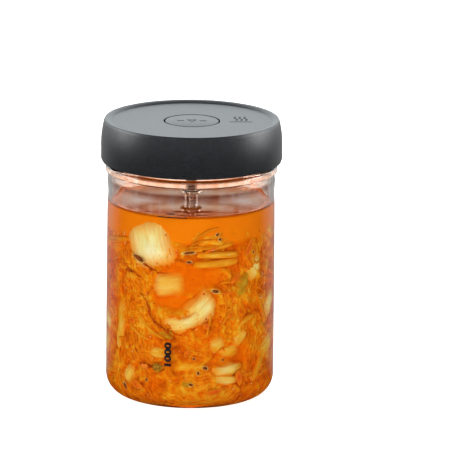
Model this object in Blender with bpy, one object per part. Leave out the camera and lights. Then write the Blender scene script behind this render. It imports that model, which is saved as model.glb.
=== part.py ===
"""Fermentation jar: a clear glass jar packed with cabbage pickle, under a dark
plastic lid whose round button presses a steel valve stem.

Units are metres and +Z is up. The origin is the middle of the jar's foot.
"""
import math
import random

import bmesh
import bpy
from mathutils import Matrix, Vector, noise

# Glass jar, outside
GLASS_RADIUS = 0.0540
FOOT_CORNER = 0.0135
TAPER_RADIUS = 0.0537
TAPER_HEIGHT = 0.1212
WAIST_RADIUS = 0.0533
WAIST_HEIGHT = 0.1323
BULGE_RADIUS = 0.05375
BULGE_HEIGHT = 0.1397
GROOVE_RADIUS = 0.05345
GROOVE_HEIGHT = 0.1450
BEAD_RADIUS = 0.0550
BEAD_BOTTOM = 0.1464
BEAD_TOP = 0.1517
BEAD_CORNER = 0.0013
BEAD_ROUNDING = 0.0022
COLLAR_RADIUS = 0.0529
RIM_HEIGHT = 0.1757
RIM_ROUNDING = 0.0013

# Glass jar, inside
INNER_RADIUS = 0.0512
INNER_CORNER = 0.0105
BASE_THICKNESS = 0.0035
INNER_TAPER_RADIUS = 0.0510
INNER_WAIST_RADIUS = 0.0506
INNER_BULGE_RADIUS = 0.0510
SHOULDER_RADIUS = 0.0507
SHOULDER_BOTTOM = 0.1465
SHOULDER_TOP = 0.1530
NECK_RADIUS = 0.0496

# Lid
LID_BOTTOM = 0.1534
LID_LOWER_RADIUS = 0.0570
LID_RADIUS = 0.0580
LID_CHAMFER_TOP = 0.1551
LID_STRAIGHT_TOP = 0.1646
LID_TOP = 0.1803
LID_TOP_RADIUS = 0.0558
LID_EDGE_ROUNDING = 0.0006
LID_RIM_INNER = 0.0548
LID_FLOOR = 0.1788
LID_FLOOR_RADIUS = 0.0510
LID_UNDERSIDE = 0.1761
SKIRT_LOWER_RADIUS = 0.0556
SKIRT_UPPER_RADIUS = 0.0536
SKIRT_STEP = 0.1575
SKIRT_SLOPE = 0.0012

# Button, and the well in the lid that holds it
BUTTON_RADIUS = 0.0171
BUTTON_GAP = 0.0005
BUTTON_PLATE = 0.0025
BUTTON_WALL = 0.0015
BUTTON_SKIRT_BOTTOM = 0.1733
BUTTON_BOSS_RADIUS = 0.0055
BUTTON_BOSS_BOTTOM = 0.1730
BUTTON_EDGE = 0.0004
WELL_WALL = 0.0020
WELL_FLOOR = 0.1692
WELL_THICKNESS = 0.0020
GUIDE_RADIUS = 0.0074
GUIDE_BOTTOM = 0.1586

# Valve stem
STEM_RADIUS = 0.0035
STEM_CLEARANCE = 0.0004
STEM_TOP = 0.1726
DISC_RADIUS = 0.00705
DISC_TOP = 0.1344
DISC_BOTTOM = 0.1312
DISC_ROUNDING = 0.0012
TIP_RADIUS = 0.0048
TIP_BOTTOM = 0.1228
TIP_CHAMFER = 0.0008

# Cabbage pickle
PICKLE_SEED = 41
PICKLE_BOTTOM = 0.0041
PICKLE_TOP = 0.1162
CORE_RADIUS = 0.0472
CORE_LIFT = 0.0006
CORE_CORNER = 0.0095
CORE_TOP_CORNER = 0.0070
CORE_WALL_STEPS = 7
CORE_LUMP = 0.0014
CORE_LUMPS_PER_METRE = 70.0
WALL_GAP = 0.0006
PIECE_REACH = INNER_RADIUS - WALL_GAP
GOLDEN_ANGLE = 137.5
SCATTERED_PIECES = 46
SCATTER_MARGIN = 0.008
ANGLE_JITTER = 9.0
TURN_SPREAD = 70.0
SIZE_SPREAD = 0.2
DEPTH_SPREAD = 0.0012
LAID_PIECES = 8
LAID_REACH = 0.033
SCATTER_SEED = 40
LAID_SEED = 200
INSET_STEP = 0.00006
INSET_STEPS = 13

TURN_STEPS = 44
STEM_STEPS = 22
CORE_STEPS = 24
MERGE_DISTANCE = 1e-6
SMOOTH_ANGLE = math.radians(32)

# How much a piece thins toward its edge, and how its outline wanders: by what
# share of its size, and how many wanders there are to a metre.
EDGE_THINNING = 0.45
END_WANDER = 0.10
END_WANDERS = 60.0
SIDE_WANDER = 0.16
SIDE_WANDERS = 70.0

# How each kind of pickle piece is shaped: length, width and thickness, the
# height and length of its waves, its corner rounding, and its grid of faces.
PIECE_KINDS = {
    "rib": dict(size=(0.026, 0.017, 0.0042), wave=0.0004, pitch=0.020, round=0.75, cells=(4, 2)),
    "leaf": dict(size=(0.026, 0.021, 0.0024), wave=0.0011, pitch=0.011, round=0.85, cells=(4, 3)),
    "strip": dict(size=(0.030, 0.0042, 0.0034), wave=0.0003, pitch=0.016, round=0.35, cells=(4, 1)),
}
KIND_ORDER = ("leaf", "rib", "strip", "leaf", "strip")

# Pieces that show at the front: kind, angle from the front, height, turn,
# length, width and depth behind the glass.
FRONT_PIECES = (
    ("rib", -31, 0.1080, -68, 0.034, 0.030, 0.0),
    ("strip", 21, 0.1018, -3, 0.029, 0.0052, 0.0),
    ("strip", 20, 0.0966, 3, 0.027, 0.0056, 0.0003),
    ("leaf", 14, 0.1112, 8, 0.034, 0.015, 0.0005),
    ("leaf", 41, 0.1115, -20, 0.026, 0.013, 0.0008),
    ("rib", -7, 0.0826, 2, 0.040, 0.024, 0.0014),
    ("rib", 0, 0.0650, 24, 0.040, 0.021, 0.0),
    ("rib", 52, 0.0906, 60, 0.021, 0.018, 0.0002),
    ("leaf", 46, 0.0795, 40, 0.026, 0.014, 0.0006),
    ("strip", 30, 0.0281, 2, 0.023, 0.0052, 0.0),
    ("strip", 29, 0.0217, -2, 0.022, 0.0056, 0.0002),
    ("rib", 30, 0.0451, 12, 0.020, 0.015, 0.0006),
    ("rib", -63, 0.0557, 82, 0.044, 0.014, 0.0004),
    ("strip", 60, 0.0262, 62, 0.025, 0.0050, 0.0),
    ("leaf", -45, 0.0820, -40, 0.030, 0.020, 0.0007),
    ("strip", -28, 0.0511, -44, 0.028, 0.0038, 0.0),
    ("leaf", -43, 0.0556, 20, 0.027, 0.022, 0.0009),
    ("leaf", 4, 0.0404, -15, 0.026, 0.024, 0.0007),
    ("leaf", 33, 0.0641, 70, 0.028, 0.018, 0.0008),
    ("leaf", 9, 0.0170, 8, 0.029, 0.015, 0.0006),
    ("rib", -22, 0.0346, -8, 0.013, 0.009, 0.0004),
    ("leaf", -44, 0.0235, -30, 0.026, 0.018, 0.0006),
)


def principled(name, color, roughness, metallic=0.0, transmission=0.0):
    material = bpy.data.materials.new(name)
    material.use_nodes = True
    shader = material.node_tree.nodes["Principled BSDF"]
    shader.inputs["Base Color"].default_value = (*color, 1.0)
    shader.inputs["Roughness"].default_value = roughness
    shader.inputs["Metallic"].default_value = metallic
    shader.inputs["Transmission Weight"].default_value = transmission
    material.diffuse_color = (*color, 1.0)
    return material


def arc(radius, height, rounding, start, end, steps):
    """Points on an arc about (radius, height), from start to end in degrees."""
    points = []
    for step in range(steps + 1):
        angle = math.radians(start + (end - start) * step / steps)
        points.append((radius + rounding * math.cos(angle), height + rounding * math.sin(angle)))
    return points


def finish_object(name, shell, material):
    """Turn a bmesh into a named object with smooth round faces."""
    mesh = bpy.data.meshes.new(name)
    shell.to_mesh(mesh)
    shell.free()
    mesh.materials.append(material)
    mesh.shade_smooth()
    mesh.set_sharp_from_angle(angle=SMOOTH_ANGLE)
    item = bpy.data.objects.new(name, mesh)
    bpy.context.collection.objects.link(item)
    return item


def turn_outline(outline, steps, closed):
    """Spin an outline of (radius, height) points once round the Z axis."""
    shell = bmesh.new()
    corners = [shell.verts.new((radius, 0.0, height)) for radius, height in outline]
    pairs = list(zip(corners, corners[1:]))
    if closed:
        pairs.append((corners[-1], corners[0]))
    edges = [shell.edges.new(pair) for pair in pairs]
    bmesh.ops.spin(shell, geom=corners + edges, cent=(0, 0, 0), axis=(0, 0, 1),
                   angle=math.tau, steps=steps, use_merge=True)
    bmesh.ops.remove_doubles(shell, verts=shell.verts, dist=MERGE_DISTANCE)
    bmesh.ops.recalc_face_normals(shell, faces=shell.faces)
    return shell


def make_glass_jar(material):
    """One turned wall: round-cornered foot, waist, bulge, groove, bead, collar."""
    rim_center = RIM_HEIGHT - RIM_ROUNDING
    outer = [(0.0, 0.0)]
    outer += arc(GLASS_RADIUS - FOOT_CORNER, FOOT_CORNER, FOOT_CORNER, -90, 0, 6)
    outer += [(TAPER_RADIUS, TAPER_HEIGHT), (WAIST_RADIUS, WAIST_HEIGHT)]
    outer += [(BULGE_RADIUS, BULGE_HEIGHT), (GROOVE_RADIUS, GROOVE_HEIGHT)]
    outer += arc(BEAD_RADIUS - BEAD_CORNER, BEAD_BOTTOM + BEAD_CORNER, BEAD_CORNER, -78, 0, 2)
    outer += arc(BEAD_RADIUS - BEAD_ROUNDING, BEAD_TOP - BEAD_ROUNDING, BEAD_ROUNDING, 0, 88, 3)
    outer += arc(COLLAR_RADIUS - RIM_ROUNDING, rim_center, RIM_ROUNDING, 0, 90, 2)
    inner = arc(NECK_RADIUS + RIM_ROUNDING, rim_center, RIM_ROUNDING, 90, 180, 2)
    inner += [(NECK_RADIUS, SHOULDER_TOP), (SHOULDER_RADIUS, SHOULDER_BOTTOM)]
    inner += [(INNER_BULGE_RADIUS, BULGE_HEIGHT), (INNER_WAIST_RADIUS, WAIST_HEIGHT)]
    inner += [(INNER_TAPER_RADIUS, TAPER_HEIGHT)]
    inner += arc(INNER_RADIUS - INNER_CORNER, BASE_THICKNESS + INNER_CORNER, INNER_CORNER, 0, -90, 4)
    inner += [(0.0, BASE_THICKNESS)]
    return finish_object("glass_jar", turn_outline(outer + inner, TURN_STEPS, False), material)


def make_lid(material):
    """Skirt, crowned side, raised rim and sunk top, with the button's well."""
    hole = BUTTON_RADIUS + BUTTON_GAP
    bore = STEM_RADIUS + STEM_CLEARANCE
    rise = LID_TOP - LID_STRAIGHT_TOP
    outer = [(LID_LOWER_RADIUS, LID_BOTTOM), (LID_RADIUS, LID_CHAMFER_TOP)]
    for step in range(5):
        share = step / 5
        height = LID_STRAIGHT_TOP + rise * share
        outer.append((LID_RADIUS - (LID_RADIUS - LID_TOP_RADIUS) * share ** 2, height))
    outer += arc(LID_TOP_RADIUS - LID_EDGE_ROUNDING, LID_TOP - LID_EDGE_ROUNDING,
                 LID_EDGE_ROUNDING, 0, 90, 2)
    top = [(LID_RIM_INNER, LID_TOP)]
    for step in range(1, 4):
        swing = math.radians(90 * step / 3)
        reach = LID_RIM_INNER - LID_FLOOR_RADIUS
        drop = LID_TOP - LID_FLOOR
        top.append((LID_RIM_INNER - reach * math.sin(swing), LID_FLOOR + drop * math.cos(swing) ** 2))
    top += [(hole, LID_FLOOR), (hole, WELL_FLOOR), (bore, WELL_FLOOR), (bore, GUIDE_BOTTOM)]
    under = [(GUIDE_RADIUS, GUIDE_BOTTOM), (GUIDE_RADIUS, WELL_FLOOR - WELL_THICKNESS)]
    under += [(hole + WELL_WALL, WELL_FLOOR - WELL_THICKNESS), (hole + WELL_WALL, LID_UNDERSIDE)]
    under += [(SKIRT_UPPER_RADIUS, LID_UNDERSIDE), (SKIRT_UPPER_RADIUS, SKIRT_STEP)]
    under += [(SKIRT_LOWER_RADIUS, SKIRT_STEP - SKIRT_SLOPE), (SKIRT_LOWER_RADIUS, LID_BOTTOM)]
    return finish_object("lid", turn_outline(outer + top + under, TURN_STEPS, True), material)


def make_push_button(material):
    """A round cap, level with the lid, with a skirt and a middle boss below."""
    under = LID_FLOOR - BUTTON_PLATE
    outline = [(0.0, LID_FLOOR), (BUTTON_RADIUS - BUTTON_EDGE, LID_FLOOR)]
    outline += [(BUTTON_RADIUS, LID_FLOOR - BUTTON_EDGE), (BUTTON_RADIUS, BUTTON_SKIRT_BOTTOM)]
    outline += [(BUTTON_RADIUS - BUTTON_WALL, BUTTON_SKIRT_BOTTOM), (BUTTON_RADIUS - BUTTON_WALL, under)]
    outline += [(BUTTON_BOSS_RADIUS, under), (BUTTON_BOSS_RADIUS, BUTTON_BOSS_BOTTOM)]
    outline += [(0.0, BUTTON_BOSS_BOTTOM)]
    return finish_object("push_button", turn_outline(outline, TURN_STEPS, False), material)


def make_valve_stem(material):
    """A steel rod with a round-edged disc and a short thick tip."""
    edge = DISC_RADIUS - DISC_ROUNDING
    outline = [(0.0, STEM_TOP), (STEM_RADIUS, STEM_TOP), (STEM_RADIUS, DISC_TOP)]
    outline += arc(edge, DISC_TOP - DISC_ROUNDING, DISC_ROUNDING, 90, 0, 3)
    outline += arc(edge, DISC_BOTTOM + DISC_ROUNDING, DISC_ROUNDING, 0, -90, 3)
    outline += [(TIP_RADIUS, DISC_BOTTOM), (TIP_RADIUS, TIP_BOTTOM + TIP_CHAMFER)]
    outline += [(TIP_RADIUS - TIP_CHAMFER, TIP_BOTTOM), (0.0, TIP_BOTTOM)]
    return finish_object("valve_stem", turn_outline(outline, STEM_STEPS, False), material)


def reach_at(height):
    """The largest radius a piece may have at a height, inside the round corner."""
    drop = BASE_THICKNESS + INNER_CORNER - height
    if drop <= 0:
        return PIECE_REACH
    drop = min(drop, INNER_CORNER)
    return PIECE_REACH - INNER_CORNER + math.sqrt(INNER_CORNER ** 2 - drop ** 2)


def make_core(material):
    """The lumpy middle of the heap, which every piece is fused to."""
    floor = PICKLE_BOTTOM + CORE_LIFT
    low = floor + CORE_CORNER
    high = PICKLE_TOP - CORE_TOP_CORNER
    outline = [(0.0, floor), (CORE_RADIUS / 2, floor)]
    outline += arc(CORE_RADIUS - CORE_CORNER, low, CORE_CORNER, -90, 0, 3)
    for step in range(1, CORE_WALL_STEPS):
        outline.append((CORE_RADIUS, low + (high - low) * step / CORE_WALL_STEPS))
    outline += arc(CORE_RADIUS - CORE_TOP_CORNER, high, CORE_TOP_CORNER, 0, 90, 2)
    outline += [(CORE_RADIUS * 0.6, PICKLE_TOP), (CORE_RADIUS * 0.3, PICKLE_TOP), (0.0, PICKLE_TOP)]
    shell = turn_outline(outline, CORE_STEPS, False)
    for vertex in shell.verts:
        vertex.co += noise.noise_vector(vertex.co * CORE_LUMPS_PER_METRE) * CORE_LUMP
    bmesh.ops.triangulate(shell, faces=shell.faces)
    return finish_object("kimchi", shell, material)


def rounded_place(across, along, rounding):
    """Pull the corners of a square grid in, by rounding from 0 to 1."""
    return (across * math.sqrt(1.0 - rounding * along * along / 2.0),
            along * math.sqrt(1.0 - rounding * across * across / 2.0))


def piece_surface(kind, size, seed):
    """A closed bent slab in its own plane, as bmesh, with u along and w outward."""
    shape = PIECE_KINDS[kind]
    columns, rows = shape["cells"]
    length, width, thickness = size
    offset = Vector((seed * 3.7, seed * 1.3, seed * 0.9))
    shell = bmesh.new()
    layers = []
    for side in (0.5, -0.5):
        layer = []
        for row in range(rows + 1):
            line = []
            for column in range(columns + 1):
                a, b = rounded_place(2 * column / columns - 1, 2 * row / rows - 1, shape["round"])
                place = Vector((a * length / 2, b * width / 2, 0.0))
                bend = noise.noise(place / shape["pitch"] + offset)
                edge = 1.0 - EDGE_THINNING * max(abs(a), abs(b)) ** 3
                place.x *= 1.0 + END_WANDER * noise.noise(place * END_WANDERS + offset * 2)
                place.y *= 1.0 + SIDE_WANDER * noise.noise(place * SIDE_WANDERS - offset)
                place.z = side * thickness * edge + shape["wave"] * 2.0 * bend
                line.append(shell.verts.new(place))
            layer.append(line)
        layers.append(layer)
    outer, inner = layers
    for row in range(rows):
        for column in range(columns):
            shell.faces.new((outer[row][column], outer[row][column + 1],
                             outer[row + 1][column + 1], outer[row + 1][column]))
            shell.faces.new((inner[row][column], inner[row + 1][column],
                             inner[row + 1][column + 1], inner[row][column + 1]))
    bmesh.ops.bridge_loops(shell, edges=[edge for edge in shell.edges if edge.is_boundary])
    bmesh.ops.triangulate(shell, faces=shell.faces)
    bmesh.ops.recalc_face_normals(shell, faces=shell.faces)
    return shell


def piece_inset(seed):
    """A small inset that differs between neighbours, so no two faces coincide."""
    return INSET_STEP * (1 + seed % INSET_STEPS)


def wrap_on_wall(shell, angle, height, turn, sink):
    """Turn a slab in its plane and bend it round the jar, outer face at the glass."""
    spin = Matrix.Rotation(turn, 4, "Z")
    bmesh.ops.transform(shell, matrix=spin, verts=shell.verts)
    lowest = min(vertex.co.y for vertex in shell.verts)
    height = max(height, PICKLE_BOTTOM - lowest)
    for vertex in shell.verts:
        rise = height + vertex.co.y
        radius = reach_at(rise) - sink + vertex.co.z
        swing = angle + vertex.co.x / PIECE_REACH
        vertex.co = Vector((radius * math.sin(swing), -radius * math.cos(swing), rise))


def lay_on_top(shell, away, swing, turn, drop):
    """Turn a slab in its plane and lay it on the top of the heap."""
    place = Vector((away * math.cos(swing), away * math.sin(swing), PICKLE_TOP - drop))
    move = Matrix.Translation(place) @ Matrix.Rotation(turn, 4, "Z")
    bmesh.ops.transform(shell, matrix=move, verts=shell.verts)


def wall_piece(kind, angle, height, turn, size, depth, seed):
    shape = PIECE_KINDS[kind]
    shell = piece_surface(kind, size, seed)
    sink = depth + size[2] / 2 + shape["wave"] + piece_inset(seed)
    wrap_on_wall(shell, math.radians(angle), height, math.radians(turn), sink)
    return shell


def covered_by_front(angle, height):
    """Whether a place on the wall is already taken by a front piece."""
    for _kind, front_angle, front_height, turn, length, width, _depth in FRONT_PIECES:
        across = math.radians(angle - front_angle) * PIECE_REACH
        rise = height - front_height
        swing = math.radians(turn)
        u = across * math.cos(swing) + rise * math.sin(swing)
        v = rise * math.cos(swing) - across * math.sin(swing)
        if abs(u) < length * 0.45 and abs(v) < width * 0.6:
            return True
    return False


def pickle_shells():
    """Every piece that shows: the front ones by name, the rest by a seeded rule."""
    draw = random.Random(PICKLE_SEED)
    shells = []
    for number, front in enumerate(FRONT_PIECES):
        kind, angle, height, turn, length, width, depth = front
        size = (length, width, PIECE_KINDS[kind]["size"][2])
        shells.append(wall_piece(kind, angle, height, turn, size, depth, number))
    rise = PICKLE_TOP - PICKLE_BOTTOM - 2 * SCATTER_MARGIN
    for number in range(SCATTERED_PIECES):
        kind = KIND_ORDER[number % len(KIND_ORDER)]
        jitter = draw.uniform(-ANGLE_JITTER, ANGLE_JITTER)
        angle = (number * GOLDEN_ANGLE + jitter + 180) % 360 - 180
        height = PICKLE_BOTTOM + SCATTER_MARGIN + rise * (number + 0.5) / SCATTERED_PIECES
        turn = draw.uniform(-TURN_SPREAD, TURN_SPREAD)
        scale = draw.uniform(1 - SIZE_SPREAD, 1 + SIZE_SPREAD)
        depth = draw.uniform(0.0, DEPTH_SPREAD)
        if covered_by_front(angle, height):
            continue
        length, width, thickness = PIECE_KINDS[kind]["size"]
        size = (length * scale, width * scale, thickness)
        shells.append(wall_piece(kind, angle, height, turn, size, depth, SCATTER_SEED + number))
    for number in range(LAID_PIECES):
        kind = ("leaf", "rib", "strip")[number % 3]
        swing = number * math.radians(GOLDEN_ANGLE)
        away = LAID_REACH * math.sqrt((number + 0.5) / LAID_PIECES)
        shell = piece_surface(kind, PIECE_KINDS[kind]["size"], LAID_SEED + number)
        lay_on_top(shell, away, swing, draw.uniform(0, math.tau), piece_inset(number))
        shells.append(shell)
    return shells


def largest_shell_only(mesh):
    """Drop loose scraps, and fill sealed hollows by dropping their faces."""
    shell = bmesh.new()
    shell.from_mesh(mesh)
    waiting = set(shell.faces)
    groups = []
    while waiting:
        stack = [waiting.pop()]
        group = list(stack)
        while stack:
            for edge in stack.pop().edges:
                for face in edge.link_faces:
                    if face in waiting:
                        waiting.remove(face)
                        stack.append(face)
                        group.append(face)
        groups.append(group)
    groups.sort(key=len)
    for group in groups[:-1]:
        bmesh.ops.delete(shell, geom=group, context="FACES")
    bmesh.ops.triangulate(shell, faces=shell.faces)
    shell.to_mesh(mesh)
    shell.free()


def make_kimchi(material):
    """The heap: the core with every showing piece fused on by one union."""
    heap = make_core(material)
    pieces = bpy.data.collections.new("pickle_pieces")
    bpy.context.scene.collection.children.link(pieces)
    for number, shell in enumerate(pickle_shells()):
        mesh = bpy.data.meshes.new(f"pickle_piece_{number}")
        shell.to_mesh(mesh)
        shell.free()
        pieces.objects.link(bpy.data.objects.new(mesh.name, mesh))
    union = heap.modifiers.new("fuse", "BOOLEAN")
    union.operation = "UNION"
    union.operand_type = "COLLECTION"
    union.collection = pieces
    union.solver = "EXACT"
    bpy.context.view_layer.objects.active = heap
    bpy.ops.object.modifier_apply(modifier=union.name)
    for item in list(pieces.objects):
        bpy.data.objects.remove(item)
    bpy.data.collections.remove(pieces)
    largest_shell_only(heap.data)
    heap.data.shade_smooth()
    heap.data.set_sharp_from_angle(angle=SMOOTH_ANGLE)
    return heap


def main():
    for item in list(bpy.data.objects):
        bpy.data.objects.remove(item)
    clear_glass = principled("clear_glass", (0.93, 0.95, 0.94), 0.02, transmission=1.0)
    lid_plastic = principled("lid_plastic", (0.035, 0.037, 0.040), 0.42)
    button_plastic = principled("button_plastic", (0.035, 0.037, 0.040), 0.40)
    steel = principled("steel", (0.62, 0.61, 0.59), 0.25, metallic=1.0)
    pickle = principled("pickle", (0.80, 0.34, 0.06), 0.35)
    make_glass_jar(clear_glass)
    make_lid(lid_plastic)
    make_push_button(button_plastic)
    make_valve_stem(steel)
    make_kimchi(pickle)


main()
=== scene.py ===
# %% [markdown]
# # Fermentation jar with cabbage pickle
#
# A clear glass jar holds cut cabbage in orange brine. A dark plastic lid closes it, and a round button in
# the lid presses a steel valve stem that hangs over the brine. This file loads the CAD model as a fixed
# frame and puts the finished pieces round it, one step to a cell. Every length is in metres, +Z is up and
# the front faces -Y.

# %% Load the frame
import math
import random
import bpy
from mathutils import Matrix, Quaternion, Vector, noise


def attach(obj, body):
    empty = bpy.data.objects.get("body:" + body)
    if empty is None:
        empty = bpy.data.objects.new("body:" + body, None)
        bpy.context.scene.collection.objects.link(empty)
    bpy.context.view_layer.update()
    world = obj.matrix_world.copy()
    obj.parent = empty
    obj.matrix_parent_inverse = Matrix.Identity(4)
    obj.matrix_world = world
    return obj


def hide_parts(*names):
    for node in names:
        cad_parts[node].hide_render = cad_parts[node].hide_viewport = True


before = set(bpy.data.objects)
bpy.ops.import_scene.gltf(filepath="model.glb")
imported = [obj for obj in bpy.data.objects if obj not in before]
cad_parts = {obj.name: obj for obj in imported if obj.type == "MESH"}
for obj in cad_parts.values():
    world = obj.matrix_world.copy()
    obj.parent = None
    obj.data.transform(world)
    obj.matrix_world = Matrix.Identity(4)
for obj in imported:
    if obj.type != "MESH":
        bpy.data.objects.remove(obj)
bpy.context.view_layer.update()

bpy.ops.object.select_all(action="DESELECT")

# %% [markdown]
# ## The camera
#
# The photo is taken with a long lens from a little above, so the lid's top shows as a flat ellipse. The
# camera stands 3.6 m in front and looks at a point beside the jar, because the jar stands left of the
# picture's middle. A short lens close by would give the same size, but it would spread the jar's sides.

# %% Camera
CAMERA_PLACE = Vector((0.0, -3.6, 0.99688))
CAMERA_AIM = Vector((0.02511, 0.0, 0.10708))
CAMERA_ROLL = math.radians(0.639)
CAMERA_LENS = 452.25

camera_data = bpy.data.cameras.new("camera")
camera_data.lens = CAMERA_LENS
camera_data.sensor_width = 36.0
camera_data.clip_start = 0.1
camera_data.clip_end = 50.0
camera = bpy.data.objects.new("camera", camera_data)
bpy.context.scene.collection.objects.link(camera)
camera.location = CAMERA_PLACE
camera.rotation_mode = "QUATERNION"
looking = (CAMERA_AIM - CAMERA_PLACE).to_track_quat("-Z", "Y")
camera.rotation_quaternion = looking @ Quaternion((0, 0, 1), CAMERA_ROLL)
bpy.context.scene.camera = camera
print("camera at", tuple(CAMERA_PLACE))

# %% [markdown]
# ## Small tools for the shader nodes
#
# Every material below is built from the same few kinds of node, so short functions add a node, set its
# plain values and join it to the one before. The same nodes could be joined by hand in the shader editor,
# in many more steps.

# %% Shader tools
def new_material(name):
    """An empty node material, with its Principled shader and output."""
    material = bpy.data.materials.new(name)
    material.use_nodes = True
    return material, material.node_tree, material.node_tree.nodes["Principled BSDF"]


def add(tree, kind, inputs=None, **settings):
    """A new node. settings are its properties, inputs the values of its sockets or what feeds them."""
    node = tree.nodes.new(kind)
    for key, value in settings.items():
        setattr(node, key, value)
    for key, value in (inputs or {}).items():
        if isinstance(value, bpy.types.NodeSocket):
            tree.links.new(value, node.inputs[key])
        else:
            node.inputs[key].default_value = value
    return node


def ramp(tree, factor, stops):
    """A colour ramp through (position, colour) stops."""
    node = add(tree, "ShaderNodeValToRGB", {"Fac": factor})
    elements = node.color_ramp.elements
    while len(elements) < len(stops):
        elements.new(0.5)
    for element, (position, color) in zip(elements, stops):
        element.position = position
        element.color = (*color, 1.0)
    return node.outputs["Color"]


def blend_colors(tree, factor, first, second, mode="MIX"):
    """Two colours mixed by a factor. Either may be a socket or a plain colour."""
    node = add(tree, "ShaderNodeMix", data_type="RGBA", blend_type=mode)
    for key, value in ((0, factor), (6, first), (7, second)):
        if isinstance(value, bpy.types.NodeSocket):
            tree.links.new(value, node.inputs[key])
        elif key == 0:
            node.inputs[key].default_value = value
        else:
            node.inputs[key].default_value = (*value, 1.0)
    return node.outputs[2]


def remap(tree, value, low, high, out_low=0.0, out_high=1.0):
    """A value stretched from one range to another, and held inside it."""
    inputs = {"Value": value, "From Min": low, "From Max": high, "To Min": out_low, "To Max": out_high}
    return add(tree, "ShaderNodeMapRange", inputs).outputs["Result"]


def calculate(tree, operation, *values):
    """A sum of numbers or sockets."""
    return add(tree, "ShaderNodeMath", dict(enumerate(values)), operation=operation).outputs[0]


def axis_of(tree, vector, axis):
    """One coordinate of a vector."""
    return add(tree, "ShaderNodeSeparateXYZ", {"Vector": vector}).outputs[axis]


def length_of(tree, vector):
    """How long a vector is."""
    return add(tree, "ShaderNodeVectorMath", {0: vector}, operation="LENGTH").outputs["Value"]


def by_ray(tree, path, kind, others, own):
    """A shader that gives one kind of ray its own look."""
    mixed = add(tree, "ShaderNodeMixShader", {0: path.outputs["Is " + kind + " Ray"], 1: others, 2: own})
    return mixed.outputs["Shader"]


def object_place(tree, scale=(1.0, 1.0, 1.0)):
    """Object coordinates, scaled."""
    place = add(tree, "ShaderNodeTexCoord").outputs["Object"]
    return add(tree, "ShaderNodeMapping", {"Vector": place, "Scale": scale}).outputs["Vector"]


def flat_place(tree, scale=(1.0, 1.0, 1.0)):
    """The place on a food piece before it was bent round the jar, in millimetres, scaled."""
    place = add(tree, "ShaderNodeAttribute", attribute_name="flat").outputs["Vector"]
    return add(tree, "ShaderNodeMapping", {"Vector": place, "Scale": scale}).outputs["Vector"]


def noise_value(tree, vector, scale, detail=3.0, roughness=0.5, distortion=0.0):
    """A noise from 0 to 1 over a place."""
    inputs = {"Vector": vector, "Scale": scale, "Detail": detail, "Roughness": roughness,
              "Distortion": distortion}
    return add(tree, "ShaderNodeTexNoise", inputs).outputs["Fac"]


def set_plain(shader, values):
    """Plain numbers and colours on a shader's sockets."""
    for key, value in values.items():
        if isinstance(value, tuple):
            value = (*value, 1.0)
        shader.inputs[key].default_value = value


print("shader tools ready")

# %% [markdown]
# ## The floor
#
# The jar stands on white paper. A plain white disc could be enough, but the glass would mirror it all
# round and turn milky. In a studio the paper is bright behind the jar and dark before it. So the floor
# gives each kind of ray its own light: the camera sees white, plain light comes back softly, and what the
# glass mirrors or bends is bright behind the jar and dark in front.

# %% Floor
FLOOR_RADIUS = 6.0

bpy.ops.mesh.primitive_circle_add(vertices=96, radius=FLOOR_RADIUS, fill_type="NGON", location=(0, 0, 0))
floor = bpy.context.object
floor.name = "floor"
print("floor", FLOOR_RADIUS, "m")

# %% Floor material
WHITE = (1.0, 1.0, 1.0, 1.0)

floor_material, tree, shader = new_material("floor")
set_plain(shader, {"Base Color": (0.94, 0.94, 0.94), "Roughness": 0.9, "Specular IOR Level": 0.0})
place = add(tree, "ShaderNodeTexCoord").outputs["Object"]
direction = add(tree, "ShaderNodeVectorMath", {0: place}, operation="NORMALIZE").outputs["Vector"]
behind = axis_of(tree, direction, "Y")
side = remap(tree, behind, 0.30, 0.70, 0.01, 0.30)
straight = remap(tree, behind, 0.955, 0.992, 0.0, 0.55)
distance = length_of(tree, place)
wide = remap(tree, behind, 0.30, 0.70, 0.0, 0.25)
narrow = remap(tree, behind, 0.955, 0.992, 0.0, 0.75)
far = calculate(tree, "ADD", wide, narrow)
far = calculate(tree, "MULTIPLY", remap(tree, distance, 0.42, 0.60, 0.0, 0.7), far)
mirrored = calculate(tree, "ADD", side, straight)
mirrored = calculate(tree, "ADD", mirrored, far)
white = add(tree, "ShaderNodeEmission", {"Color": WHITE, "Strength": 0.72})
glow = add(tree, "ShaderNodeAddShader", {0: shader.outputs["BSDF"], 1: white.outputs["Emission"]})
mirror = add(tree, "ShaderNodeEmission", {"Color": WHITE, "Strength": mirrored})
path = add(tree, "ShaderNodeLightPath")
faint = add(tree, "ShaderNodeEmission", {"Color": WHITE, "Strength": 0.40})
back = add(tree, "ShaderNodeAddShader", {0: shader.outputs["BSDF"], 1: faint.outputs["Emission"]})
lit = by_ray(tree, path, "Diffuse", glow.outputs["Shader"], back.outputs["Shader"])
seen = by_ray(tree, path, "Glossy", lit, mirror.outputs["Emission"])
tree.links.new(seen, tree.nodes["Material Output"].inputs["Surface"])
floor.data.materials.append(floor_material)
print("floor material ready")

# %% [markdown]
# ## The backdrop
#
# Behind the jar hangs white paper, and the room in front is dark. Two planes could stand for them, but
# the world's own shader does it with no edges. It is bright behind the jar, a little brighter near the
# horizon, which the flat top of the lid mirrors, and dim before the jar and overhead. The camera sees
# plain white. Plain light gets a dimmer one, so that the food is darker at the jar's sides than at its
# front.

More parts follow.
